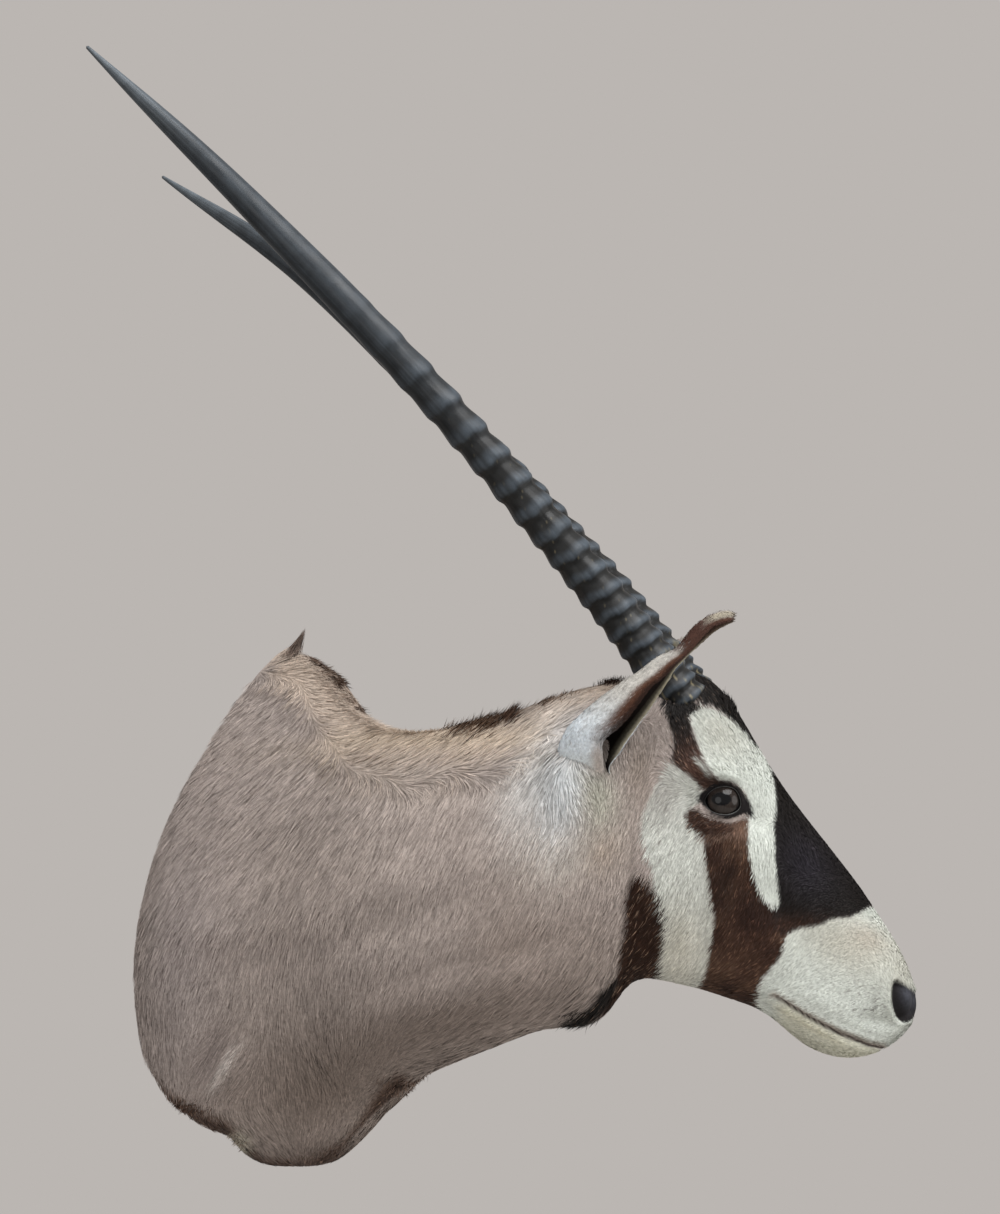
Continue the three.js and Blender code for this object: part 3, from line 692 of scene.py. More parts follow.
def socket(s, w, z):
    """How far the hide is pressed in under the patch that has the eyelids."""
    away = np.hypot(s - EYE_CENTRE[0], z - EYE_CENTRE[2])
    return 20.0 * smooth(-away, -SOCKET_REACH, -SOCKET_REACH + 11) * smooth(np.abs(w), 30, 45)


def left_rise(s, w, z):
    """How much the left shoulder is raised from the loft: up at the brisket and down at the withers."""
    crest = smooth(z, 150, 200) * (6.0 + 8.0 * smooth(z, 235, 268))
    withers = crest * smooth(-s, -150, -105) * smooth(w, -30, 0)
    brisket = smooth(-z, 150, 215) * np.exp(-(((s - 58) / 35) ** 2)) * smooth(w, 20, 70)
    return 14.0 * brisket - withers


def hide_sheet():
    share = HEAD_STATION / (len(STATIONS) - 1)
    neck = np.linspace(0, share, NECK_RINGS, endpoint=False)
    t = np.concatenate([neck, np.linspace(share, 1, HEAD_RINGS)])
    angle = np.linspace(0, 2 * pi, HIDE_SIDES + 1)
    s, w, z = loft(t[:, None], angle[None, :])
    z = z + left_rise(s, w, z)
    plain = bend(s, w, z)
    near_px = side_view(bend(s, -np.abs(w), z))
    middle = bend(s.mean(axis=1), 0, z.mean(axis=1))[:, None]
    base = Sheet(plain, near_px, None, plain - middle)
    full = plain + base.normals * (sculpt(near_px, w) - HAIR_DEEP)[..., None]
    full[:, -1] = full[:, 0]
    points = full - base.normals * socket(s, w, z)[..., None]
    px = side_view(full)
    mirrored = px[:, ::-1]
    left = angle <= pi
    px = np.where(left[None, :, None], mirrored, px)
    mirror = leftward(s) * left[None, :, None]
    return Sheet(points, px, mirror, plain - middle), full


# ======================================================== meshes
def mesh_object(name, points, faces, colours=None, normals=None, smooth_faces=True):
    """A mesh from points in millimetres and rows of corner numbers, with colour per point."""
    mesh = bpy.data.meshes.new(name)
    points = np.ascontiguousarray(points, float).reshape(-1, 3)
    faces = [np.asarray(f, np.int32) for f in faces]
    corners = np.concatenate([f.ravel() for f in faces])
    sizes = np.concatenate([np.full(len(f), f.shape[1], np.int32) for f in faces])
    starts = np.concatenate([[0], np.cumsum(sizes)[:-1]]).astype(np.int32)
    mesh.vertices.add(len(points))
    mesh.vertices.foreach_set("co", (points * MM).astype(np.float32).ravel())
    mesh.loops.add(len(corners))
    mesh.loops.foreach_set("vertex_index", corners)
    mesh.polygons.add(len(sizes))
    mesh.polygons.foreach_set("loop_start", starts)
    mesh.update(calc_edges=True)
    mesh.validate()
    mesh.polygons.foreach_set("use_smooth", np.full(len(mesh.polygons), smooth_faces))
    if colours is not None:
        layer = mesh.color_attributes.new("coat", "FLOAT_COLOR", "POINT")
        rgba = np.ones((len(points), 4), np.float32)
        rgba[:, :3] = np.asarray(colours).reshape(-1, 3)
        layer.data.foreach_set("color", rgba.ravel())
    if normals is not None:
        mesh.normals_split_custom_set_from_vertices(np.asarray(normals, np.float32).reshape(-1, 3))
    obj = bpy.data.objects.new(name, mesh)
    bpy.context.scene.collection.objects.link(obj)
    return obj


def grid_faces(rows, columns, wrap):
    """Corner numbers of the quads of a grid; a wrapped grid's last column joins its first."""
    i, j = np.meshgrid(np.arange(rows - 1), np.arange(columns if wrap else columns - 1), indexing="ij")
    k = (j + 1) % columns
    near, far = i * columns, (i + 1) * columns
    return np.stack([near + j, near + k, far + k, far + j], axis=-1).reshape(-1, 4)


def faces_outward(points, faces, outward):
    """Turns rows of corner numbers round if their faces point against outward."""
    p = points.reshape(-1, 3)
    a, b, c = (p[faces[:, k]] for k in range(3))
    agree = np.sum(np.cross(b - a, c - a) * outward.reshape(-1, 3)[faces[:, 0]])
    return faces if agree > 0 else faces[:, ::-1]


def capped_tube(grid, outward, caps):
    """The points and faces of a wrapped grid that is closed by fans; caps has row, centre and way out."""
    rows, columns = grid.shape[:2]
    every = np.concatenate([grid.reshape(-1, 3), [centre for _, centre, _ in caps]])
    faces = [faces_outward(every, grid_faces(rows, columns, wrap=True), outward)]
    for k, (row, _, way) in enumerate(caps):
        ring = np.arange(columns) + row * columns
        fan = np.stack([ring, np.roll(ring, -1), np.full(columns, rows * columns + k)], axis=1)
        faces.append(faces_outward(every, fan, np.broadcast_to(way, every.shape)))
    return every, faces


# ======================================================== materials
def new_material(name, roughness, specular, metallic=0.0, coat=0.0):
    """A material with a Principled shader; gives the material, its node tree and the shader's inputs."""
    material = bpy.data.materials.new(name)
    material.use_nodes = True
    inputs = material.node_tree.nodes["Principled BSDF"].inputs
    inputs["Roughness"].default_value = roughness
    inputs["Metallic"].default_value = metallic
    inputs["Coat Weight"].default_value = coat
    inputs["Coat Roughness"].default_value = 0.1
    inputs["Specular IOR Level"].default_value = specular
    return material, material.node_tree, inputs


def noise_node(tree, scale, detail, stretch=(1, 1, 1)):
    """Noise in object coordinates, stretched along the axes; gives its 0 to 1 output."""
    place = tree.nodes.new("ShaderNodeTexCoord")
    mapping = tree.nodes.new("ShaderNodeMapping")
    mapping.inputs["Scale"].default_value = stretch
    texture = tree.nodes.new("ShaderNodeTexNoise")
    texture.inputs["Scale"].default_value = scale
    texture.inputs["Detail"].default_value = detail
    tree.links.new(place.outputs["Object"], mapping.inputs["Vector"])
    tree.links.new(mapping.outputs["Vector"], texture.inputs["Vector"])
    return texture.outputs["Fac"]


def ranged(tree, value, to_low, to_high, low=0.3, high=0.7):
    """A value from low to high, brought to the range from to_low to to_high. Most of a noise node's values
    lie from 0.3 to 0.7."""
    node = tree.nodes.new("ShaderNodeMapRange")
    for name, number in (("From Min", low), ("From Max", high), ("To Min", to_low), ("To Max", to_high)):
        node.inputs[name].default_value = number
    tree.links.new(value, node.inputs["Value"])
    return node.outputs["Result"]


def times(tree, colour, factor):
    """A colour made lighter or darker by a number."""
    node = tree.nodes.new("ShaderNodeVectorMath")
    node.operation = "SCALE"
    tree.links.new(colour, node.inputs[0])
    tree.links.new(factor, node.inputs["Scale"])
    return node.outputs["Vector"]


def bump(tree, inputs, height, strength, distance):
    node = tree.nodes.new("ShaderNodeBump")
    node.inputs["Strength"].default_value = strength
    node.inputs["Distance"].default_value = distance
    tree.links.new(height, node.inputs["Height"])
    tree.links.new(node.outputs["Normal"], inputs["Normal"])


def two_tone(tree, value, dark, light, dark_at=0.0, light_at=1.0):
    """A colour between dark and light by a value from dark_at to light_at."""
    node = tree.nodes.new("ShaderNodeValToRGB")
    for stop, colour, place in zip(node.color_ramp.elements, (dark, light), (dark_at, light_at)):
        stop.position = place
        stop.color = (*linear(colour), 1)
    tree.links.new(value, node.inputs["Fac"])
    return node.outputs["Color"]


def coat_attribute(tree):
    node = tree.nodes.new("ShaderNodeAttribute")
    node.attribute_name = "coat"
    return node.outputs["Color"]


def coat_material(name, roughness, specular, grain, low, high):
    """A material in its mesh's own colours, made low to high times as light by noise; grain is its scale and
    detail."""
    material, tree, inputs = new_material(name, roughness, specular)
    vary = ranged(tree, noise_node(tree, *grain), low, high)
    tree.links.new(times(tree, coat_attribute(tree), vary), inputs["Base Color"])
    return material, tree, inputs


def hair_material():
    return coat_material("hair", 0.6, 0.2, (260, 3), 0.88, 1.12)[0]


def skin_material():
    material, tree, inputs = coat_material("under_hair", 0.75, 0.15, (420, 6), 0.7, 1.15)
    bump(tree, inputs, noise_node(tree, 900, 4), 0.35, 0.0006)
    return material


def horn_material():
    material, tree, inputs = coat_material("horn_keratin", 0.4, 0.28, (90, 8), 0.72, 1.25)
    tree.links.new(ranged(tree, noise_node(tree, 45, 5), 0.34, 0.58), inputs["Roughness"])
    bump(tree, inputs, noise_node(tree, 700, 6), 0.25, 0.0005)
    return material


def eye_material():
    material, tree, inputs = new_material("eye_glass", 0.3, 0.0, coat=0.5)
    tree.links.new(coat_attribute(tree), inputs["Base Color"])
    return material


def plywood_material():
    material, tree, inputs = new_material("plywood_face", 0.7, 0.25)
    grain = noise_node(tree, 30, 8, (14, 1, 1.2))
    wood = two_tone(tree, grain, (150, 116, 74), (196, 163, 116), 0.35, 0.65)
    tree.links.new(wood, inputs["Base Color"])
    bump(tree, inputs, grain, 0.3, 0.0004)
    return material


def steel_material():
    material, tree, inputs = new_material("zinc_steel", 0.34, 0.5, metallic=1.0)
    cloud = noise_node(tree, 120, 5)
    tree.links.new(two_tone(tree, cloud, (140, 143, 147), (196, 198, 200)), inputs["Base Color"])
    tree.links.new(ranged(tree, cloud, 0.25, 0.45), inputs["Roughness"])
    return material


def give(obj, material, slot, *nodes):
    """Sets a piece's material, puts it on the one body, and hides the CAD it stands for. slot is not used.
    """
    obj.data.materials.clear()
    obj.data.materials.append(material)
    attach(obj, "root")
    for node in nodes:
        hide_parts(node)
    return obj


# ======================================================== hair as slim blades
def scatter(sheet, count, weight, rng):
    """Random places on a sheet, as many per area as weight (one number a cell) says."""
    p = sheet.points
    area = np.linalg.norm(np.cross(p[1:, 1:] - p[:-1, :-1], p[1:, :-1] - p[:-1, 1:]), axis=-1) / 2
    chance = np.cumsum((area * weight).ravel())
    cell = np.searchsorted(chance, rng.random(count) * chance[-1])
    i, j = np.unravel_index(np.minimum(cell, area.size - 1), area.shape)
    a, b = rng.random(count), rng.random(count)

    def blend(grid):
        k = (..., None) if grid.ndim == 3 else ...
        low = grid[i, j] * (1 - b)[k] + grid[i, j + 1] * b[k]
        high = grid[i + 1, j] * (1 - b)[k] + grid[i + 1, j + 1] * b[k]
        return low * (1 - a)[k] + high * a[k]

    found = {name: blend(getattr(sheet, name)) for name in ("points", "normals", "px")}
    found["mirror"] = sheet.mirror[i, j]
    found["along"] = sheet.along[i, j]
    found["normals"] = unit(found["normals"])
    return found


def cells(grid):
    """The mean of each cell's four corners."""
    return (grid[1:, 1:] + grid[:-1, :-1] + grid[1:, :-1] + grid[:-1, 1:]) / 4


def reflected(way, mirror):
    """A way turned over to the left side where mirror isn't zero."""
    return way - 2 * np.sum(way * mirror, axis=1, keepdims=True) * mirror


def along_surface(way, normals):
    return unit(way - np.sum(way * normals, axis=1, keepdims=True) * normals)


def hair_way(found):
    """The hair's direction along the surface at scattered places."""
    return along_surface(reflected(across_view(flow(found["px"])), found["mirror"]), found["normals"])


FAN_OUT = 0.13  # how far hairs turn from the coat's way, one by one
COMBED_BELOW = 0.1  # a tuft that spreads less than this is combed to a point
ROOT_DEPTH = 0.25  # a blade starts this far under the skin
BLADE_WIDEST = 0.45  # the share of its length where a blade is widest
WALL_GAP = 0.4  # no hair comes closer to the wall


def blades(roots, normals, ways, lengths, widths, lifts, colours, rng, roll=0.45, vary=0.1, fan_out=FAN_OUT):
    """Slim four-cornered blades of hair that lie along ways and rise by lifts at their tips: their
    corners, colours and shading normals."""
    count = len(roots)
    across = unit(np.cross(normals, ways))
    ways = unit(ways + across * rng.normal(0, fan_out, count)[:, None])
    across = unit(np.cross(normals, ways))
    tilt = rng.normal(0, roll, count)[:, None]
    flat = unit(across * np.cos(tilt) + normals * np.sin(tilt))
    length, width, lift = (np.asarray(x, float).reshape(-1, 1) for x in (lengths, widths, lifts))
    start = roots - normals * ROOT_DEPTH
    middle = roots + ways * length * BLADE_WIDEST + normals * (lift * 0.55 + 0.35)
    tip = roots + ways * length + normals * (lift + 0.15)
    points = np.stack([start, middle - flat * width / 2, middle + flat * width / 2, tip], axis=1)
    points[..., 1] = np.minimum(points[..., 1], -WALL_GAP)
    shade = 1 + vary * rng.normal(0, 1, (count, 1))
    vary = np.broadcast_to(vary, (count, 1))
    # Each blade is darker at its root and lighter at its tip: painted shade under the hair over it, and
    # painted light on its tip.
    shades = np.stack([shade * (1 - 1.4 * vary), shade, shade, shade * (1 + 0.8 * vary)], axis=1)
    colour = np.clip(colours[:, None, :] * np.clip(shades, 0.45, 1.7), 0, 1)
    turn = normals + 1.6 * vary * rng.normal(0, 1, (count, 1)) * across - 0.1 * ways
    return points, colour, unit(np.repeat(turn[:, None, :], 4, axis=1))


def hair_object(name, parts):
    """One mesh of all the blades in parts."""
    points, colours, normals = (np.concatenate([part[k] for part in parts]) for k in range(3))
    base = np.arange(len(points))[:, None] * 4
    faces = np.concatenate([base + [0, 1, 2], base + [1, 3, 2]])
    return give(mesh_object(name, points, [faces], colours, normals), MATERIALS["hair"], "hide")


def clump(px, ways_2d, cell):
    """Noise stretched along the hair in the side view."""
    across = np.stack([-ways_2d[:, 1], ways_2d[:, 0]], axis=1)
    a = np.sum(px * ways_2d, axis=1) / 4.5
    b = np.sum(px * across, axis=1)
    return noise(np.stack([a, b, np.zeros_like(a)], axis=1), cell)


def coat(sheet, count, weight, length, width, lift, rng):
    """Hair over a sheet, in its coat's colours. length, width and lift are numbers or functions of px."""
    found = scatter(sheet, count, weight, rng)
    px = found["px"]
    size = [value(px) if callable(value) else np.full(count, value) for value in (length, width, lift)]
    size[0] = size[0] * rng.uniform(0.7, 1.25, count)
    size[1] = size[1] * rng.uniform(0.75, 1.3, count)
    size[2] = size[2] * rng.uniform(0.4, 1.5, count)
    way_px = flow(px)
    reach = size[0] * rng.uniform(-0.5, 0.35, count)
    colour = coat_colour(px, -way_px * reach[:, None] + rng.normal(0, 0.7, (count, 2)))
    short = smooth(px[..., 0], 600, 780)
    streak = (1 - 0.6 * short) * (0.08 * clump(px, way_px, 5.0) + 0.13 * clump(px, way_px, 1.6))
    patch = 1 + streak + 0.04 * noise(found["points"], 30.0)
    dark = smooth(-linear_grey(colour), -0.09, -0.03)
    vary = (0.14 - 0.1 * short + 0.14 * dark)[:, None]
    stray = (rng.random(count) < 0.07) * dark
    colour = mix(colour * (patch * (1 + 1.6 * stray))[:, None], (150, 128, 110), stray * (1 - short) * 0.5)
    return blades(found["points"], found["normals"], hair_way(found), *size, colour, rng, vary=vary)


def tuft(sheet, centre, reach, count, length, pull, colour, rng, spread, both):
    """Long hair round one place of the side view, standing off the way pull says there: right and down.
    Where both is false, it grows only on the side that the camera sees."""
    seen = sheet.px if both else side_view(sheet.points)
    weight = spot(cells(seen), centre, reach) ** 1.5
    if not both:
        weight = weight * (cells(sheet.normals @ LOOK) < 0.1)
    found = scatter(sheet, count, weight, rng)
    ahead = reflected(across_view(np.array([pull])), found["mirror"] * both)
    combed = spread < COMBED_BELOW
    inward = centre - (found["px"] if both else side_view(found["points"]))
    ahead = ahead + across_view(inward) * (0.035 if combed else 0.004)
    ways = unit(ahead + rng.normal(0, spread, (count, 3)))
    lengths = length * rng.uniform(0.4, 1.1, count)
    tint = linear(colour) * rng.uniform(0.6, 1.3, (count, 1))
    roots, normals = found["points"], found["normals"]
    fan_out = 0.02 if combed else FAN_OUT
    return blades(roots, normals, ways, lengths, 0.75, 0.0, tint, rng, roll=1.2, fan_out=fan_out)


# ======================================================== the hide
BOARD_HALF = (110.35, 190.35)  # the pocket round the board
BOARD_Z = -20.0
TURNED_ROWS = 26


def make_hide():
    sheet, full = hide_sheet()
    points = sheet.points[:, :-1]
    colour = coat_colour(sheet.px[:, :-1], 0.0) * (0.92 + 0.06 * noise(points, 3.0)[..., None])
    nose_tip = (len(points) - 1, points[-1].mean(axis=0), ALONG_FACE - UP)
    every, faces = capped_tube(points, sheet.normals[:, :-1], [nose_tip])
    shades = np.concatenate([colour.reshape(-1, 3), [colour[-1].mean(axis=0)]])
    give(mesh_object("hide_skin", every, faces, shades), MATERIALS["skin"], "hide", "hide")
    make_turned_edge(points[0])
    return sheet, full


def make_turned_edge(edge):
    """The flesh side of the hide, turned in over the back and drawn up to the board in pleats."""
    turn = np.arctan2(edge[:, 0] / BOARD_HALF[0], (edge[:, 2] - BOARD_Z) / BOARD_HALF[1])
    board_x, board_z = BOARD_HALF[0] * np.sin(turn), BOARD_Z + BOARD_HALF[1] * np.cos(turn)
    inner = np.stack([board_x, 0 * turn, board_z], axis=1)
    share = np.linspace(0, 1, TURNED_ROWS)[:, None]
    back = edge * (1 - share[..., None]) + inner * share[..., None]
    slack = np.sin(share * pi)
    pleat = noise(np.stack([np.sin(turn) * 30, np.cos(turn) * 30, turn * 0], axis=1), 1.3)
    deep = HIDE_BACK + 0.4 + 1.6 * (1 - share) ** 6 + 0.9 * pleat * slack**0.7
    deep[0] = -edge[:, 1]
    back[..., 1] = -deep - 0.35 * noise(back, 7.0) * slack
    dry = linear((176, 158, 128)) * (0.85 + 0.16 * noise(back, 11.0) + 0.08 * pleat)[..., None]
    to_wall = np.broadcast_to((0, 1.0, 0), back.shape)
    faces = faces_outward(back, grid_faces(*back.shape[:2], wrap=True), to_wall)
    give(mesh_object("hide_turned_edge", back, [faces], dry), MATERIALS["skin"], "hide")


NECK_HAIRS = {"right": 96000, "left": 80000}
NECK_HAIR_SIZE = (0.85, 1.0)  # width, and how far the tips stand off
HEAD_HAIRS = 96000
HEAD_HAIR_SIZE = (0.62, 0.55)


def neck_length(px):
    """Longer on the crest, shorter towards the head and at the lower edge."""
    low = smooth(-distance_to_line(px, LOWER_EDGE), -45, -10)
    short = 11 * spot(px, (584, 788), (40, 50)) + 11 * spot(px, (325, 680), (60, 50)) + 13 * low
    return 23 + 2 * inside(px, MANE_ABOVE, 12) - 11 * smooth(px[..., 0], 540, 640) - short


def neck_hair(sheet):
    neck = smooth(-cells(sheet.px)[..., 0], -665, -600)
    near = cells(np.linalg.norm(sheet.mirror, axis=-1)) < 0.5
    for seed, (name, side) in enumerate((("right", near), ("left", ~near))):
        rng = np.random.default_rng(seed)
        hair = coat(sheet, NECK_HAIRS[name], neck * side, neck_length, *NECK_HAIR_SIZE, rng)
        hair_object("neck_hair_" + name, [hair])


def head_length(px):
    jaw = spot(px, (672, 925), (45, 80))
    return 6.5 - 3.2 * smooth(px[..., 0], 740, 860) + 2.5 * smooth(-px[..., 0], -690, -640) + 4.5 * jaw


def head_hair(sheet):
    centre_px = cells(sheet.px)
    head = smooth(centre_px[..., 0], 600, 665)
    bare = np.maximum(inside(centre_px, EYE_RIM, 2), inside(centre_px, NOSTRIL, 2))
    bare = np.maximum(bare, smooth(-distance_to_line(centre_px, MOUTH_LINE), -3.5, -1.5))
    weight = head * (1 - bare) * (1 + smooth(centre_px[..., 0], 740, 860))
    rng = np.random.default_rng(3)
    hair_object("head_hair", [coat(sheet, HEAD_HAIRS, weight, head_length, *HEAD_HAIR_SIZE, rng)])


# Long hair: place and reach in the side view, number, length, way it is pulled, colour, spread, both sides.
TUFTS = [
    ((292, 655), (6.5, 3), 420, 29, (0.46, -0.89), (98, 84, 76), 0.02, False),
    ((290, 657), (8, 4), 220, 14, (0.5, -0.85), (128, 112, 102), 0.08, False),
    ((312, 660), (14, 6), 500, 9, (0.95, 0.1), (112, 92, 80), 0.15, False),
    ((322, 670), (9, 7), 500, 11, (0.9, 0.2), (92, 74, 62), 0.2, False),
    ((332, 682), (7, 7), 600, 11, (0.85, 0.3), (84, 66, 54), 0.2, False),
    ((341, 700), (6, 5), 300, 9, (0.85, 0.3), (108, 90, 76), 0.2, False),
    ((352, 714), (8, 7), 600, 10, (0.85, 0.3), (88, 70, 58), 0.2, False),
    ((460, 733), (20, 8), 700, 23, (0.8, -0.58), (104, 82, 66), 0.14, True),
    ((480, 727), (13, 8), 700, 21, (0.8, -0.6), (84, 64, 50), 0.13, True),
    ((503, 721), (7, 6), 420, 20, (0.72, -0.7), (76, 56, 44), 0.12, True),
    ((538, 706), (8, 5), 260, 13, (0.8, -0.6), (112, 94, 80), 0.14, True),
    ((400, 739), (44, 6), 500, 13, (0.88, -0.32), (140, 120, 102), 0.18, True),
    ((545, 697), (20, 6), 350, 8, (0.6, -0.7), (120, 98, 80), 0.25, True),
    ((604, 681), (13, 5), 420, 9, (0.25, -0.95), BROWN, 0.2, True),
    ((592, 1012), (20, 9), 900, 16, (-0.8, 0.55), BLACK, 0.2, True),
    ((612, 992), (10, 14), 500, 13, (-0.7, 0.6), BLACK, 0.2, True),
    ((395, 1085), (14, 10), 250, 9, (-0.6, 0.8), (110, 90, 78), 0.3, True),
    ((235, 1142), (16, 8), 350, 5, (-0.7, 0.6), (150, 138, 124), 0.15, True),
    ((186, 1106), (24, 6), 400, 7, (-0.7, 0.7), (84, 62, 50), 0.3, True),
    ((687, 709), (10, 6), 900, 6, (-0.3, -0.95), BLACK, 0.3, True),
    ((735, 705), (12, 12), 700, 9, (-0.3, -0.95), BLACK, 0.25, True),
    ((673, 713), (7, 6), 500, 6, (-0.1, -1.0), BLACK, 0.3, True),
]


def long_hair(sheet):
    rng = np.random.default_rng(11)
    parts = [
        tuft(sheet, centre, reach, count, length, pull, colour, rng, spread, both)
        for centre, reach, count, length, pull, colour, spread, both in TUFTS
    ]
    hair_object("mane_and_tufts", parts)


# ======================================================== eyelids
EYE_OPENING = [
    (705, 800), (708, 794.5), (712, 790.5), (718, 787.5), (727, 786.5), (735, 789), (739.5, 796),
    (741.5, 805), (738, 810.5), (731, 814), (721, 814.5), (712, 811.5), (707, 806),
]
LID_STEPS = np.array([
    0, 0.02, 0.045, 0.075, 0.11, 0.15, 0.2, 0.26, 0.33, 0.41, 0.5, 0.6, 0.7, 0.8, 0.9, 1.0,
])  # shares of the way from the lids' edge to the patch's
LIDS_AWAY = 76.0  # how far the lids' edges are from the head's middle plane
OUTSIDE = 200.0  # this far from that plane is outside the hide
LID_HAIRS = 5200  # on each side
LID_HAIR_SIZE = (4.5, 0.55, 0.45)  # length, width, and how far the tips stand off
LASHES = 46


def make_eyelids(full):
    """A round patch of hide on each side, from the lids' edges on the eyeball out to the brow and cheek."""
    quads = grid_faces(full.shape[0], full.shape[1], wrap=False)
    hide = BVHTree.FromPolygons(full.reshape(-1, 3).tolist(), quads.tolist())
    edge = from_side_view(rounded(EYE_OPENING), -LIDS_AWAY) - HEAD_ORIGIN
    centre = np.array([EYE_CENTRE[0] - HEAD_START, EYE_CENTRE[2]])
    opening = np.stack([edge @ ALONG_FACE, edge @ UP], axis=1)
    away = opening - centre
    reach = np.linalg.norm(away, axis=1, keepdims=True)
    outer = centre + away / reach * (SOCKET_REACH + 0.5)
    rise = EYE_CENTRE[1] + np.sqrt(np.maximum((EYE_R + 0.4) ** 2 - reach[:, 0] ** 2, 6.0**2))
    rows, heights = [opening + away / reach * 0.5], [rise - 4.0]
    for r in LID_STEPS:
        place = opening * (1 - r) + outer * r
        level = np.empty(len(place))
        for k, (u, z) in enumerate(place):
            start = head_point(np.array([u, -OUTSIDE, z]))
            level[k] = OUTSIDE - hide.ray_cast(Vector(start), Vector(TO_LEFT))[3]
        upper = smooth(place[:, 1] - centre[1], -2, 6)
        blend = smooth(r, 0.0, 0.6)
        lid = 1.5 * np.exp(-(((r - 0.13) / 0.1) ** 2)) - 1.2 * np.exp(-(((r - 0.36) / 0.08) ** 2)) * upper
        rows.append(place)
        heights.append(rise * (1 - blend) + level * blend + lid - 0.3 * (r == 1.0))
    place, height = np.array(rows), np.array(heights)
    near = head_point(np.stack([place[..., 0], -height, place[..., 1]], axis=-1))
    near = np.concatenate([near, near[:, :1]], axis=1)
    px = side_view(near)
    colour = coat_colour(px, 0.0)
    # A pale band along the lids' edges, next to the eyeball: a painted highlight.
    lid_edge_highlight = np.exp(-(((np.arange(len(near)) - 1.5) / 0.9) ** 2))[:, None] * np.ones(px.shape[:2])
    colour = mix(colour, (150, 152, 150), lid_edge_highlight * 0.55)
    parts, rng = [], np.random.default_rng(5)
    for name, side in (("right", -1), ("left", 1)):
        lateral = height[..., None] * side
        points = head_point(np.concatenate([place[..., :1], lateral, place[..., 1:]], axis=-1))
        points = np.concatenate([points, points[:, :1]], axis=1)
        mirror = np.broadcast_to(TO_LEFT * (side > 0), points.shape)
        outward = np.broadcast_to(TO_LEFT * side, points.shape)
        sheet = Sheet(points, px, mirror, outward)
        faces = [faces_outward(points, grid_faces(*points.shape[:2], wrap=False), outward)]
        give(mesh_object(name + "_eyelids", points, faces, colour), MATERIALS["skin"], "hide")
        weight = 1 - inside(cells(px), EYE_RIM, 3)
        parts.append(coat(sheet, LID_HAIRS, weight, *LID_HAIR_SIZE, rng))
        parts.append(lashes(points, side, rng))
    hair_object("eyelid_hair", parts)


def lashes(points, side, rng):
    """Dark lashes along the upper lid, pointing forward and down."""
    edge = points[5]
    high = np.flatnonzero((edge - head_point(np.array([0, 0, EYE_CENTRE[2] + 6.0]))) @ UP > 0)
    roots = edge[rng.choice(high, LASHES)] + rng.normal(0, 0.5, (LASHES, 3))
    ways = unit(TO_LEFT * side + ALONG_FACE * 0.5 - UP * 0.5 + rng.normal(0, 0.2, (LASHES, 3)))
    normals = np.broadcast_to(UP, roots.shape)
    colours = np.broadcast_to(linear(SKIN_BLACK), roots.shape)
    return blades(roots, normals, ways, rng.uniform(5, 9, LASHES), 0.4, 0.5, colours, rng)


# ======================================================== ears
# From the root to the tip, as in the CAD: the back edge, the outer rim and the inner rim as u, z. Then how
# far the back edge is from the head's middle plane, half of the section's depth, half of the arc it wraps,
# and how far the inner rim comes back out.
EAR_ROWS = [
    ((-11, 59), (15, 68), (32, 77), 34, 10, 2.3, 1.6),
    ((-24, 87), (14, 91), (28, 97), 48, 18, 2.25, 1.8),
    ((-28, 116), (15, 112), (20, 113), 60, 24, 2.2, 1.9),
    ((-25, 133), (14, 124), (29, 127), 71, 27, 2.1, 1.5),
    ((-17, 149), (15, 136), (39, 142), 80, 27, 2.0, 1.0),
    ((-4, 162), (30, 149), (48, 155), 88, 25, 1.95, 0.6),
    ((11, 174), (43, 164), (57, 167), 95, 22, 1.9, 0.3),
    ((28, 186), (55, 180), (65, 179), 101, 18, 1.8, 0.1),
    ((46, 197), (67, 190), (72, 189), 107, 13, 1.7, 0),
    ((62, 209), (77, 200), (79, 200), 112, 9, 1.6, 0),
    ((79, 217), (88, 210), (88, 209), 115, 6.5, 1.5, 0),
    ((94, 235), (99, 222), (100, 220), 118, 5, 1.4, 0),
    ((108, 245), (111, 234), (113, 231), 120, 4, 1.35, 0),
    ((122, 249), (123, 238), (124, 237), 121, 3.5, 1.3, 0),
    ((131, 247), (129, 240), (129, 239), 121, 2.5, 1.2, 0),
]
EAR_STEPS = 84
EAR_ARC = 34
EAR_THICK = (3.0, 0.9)  # at the midrib and at the rims
LEFT_EAR_SHIFT = (-27.0, 10.0)  # how far the left ear's tip lies back and up from where the right one's is

def head_way(along_and_up):
    """A way in the frame from one along the face and up."""
    return along_and_up[0] * ALONG_FACE + along_and_up[1] * UP


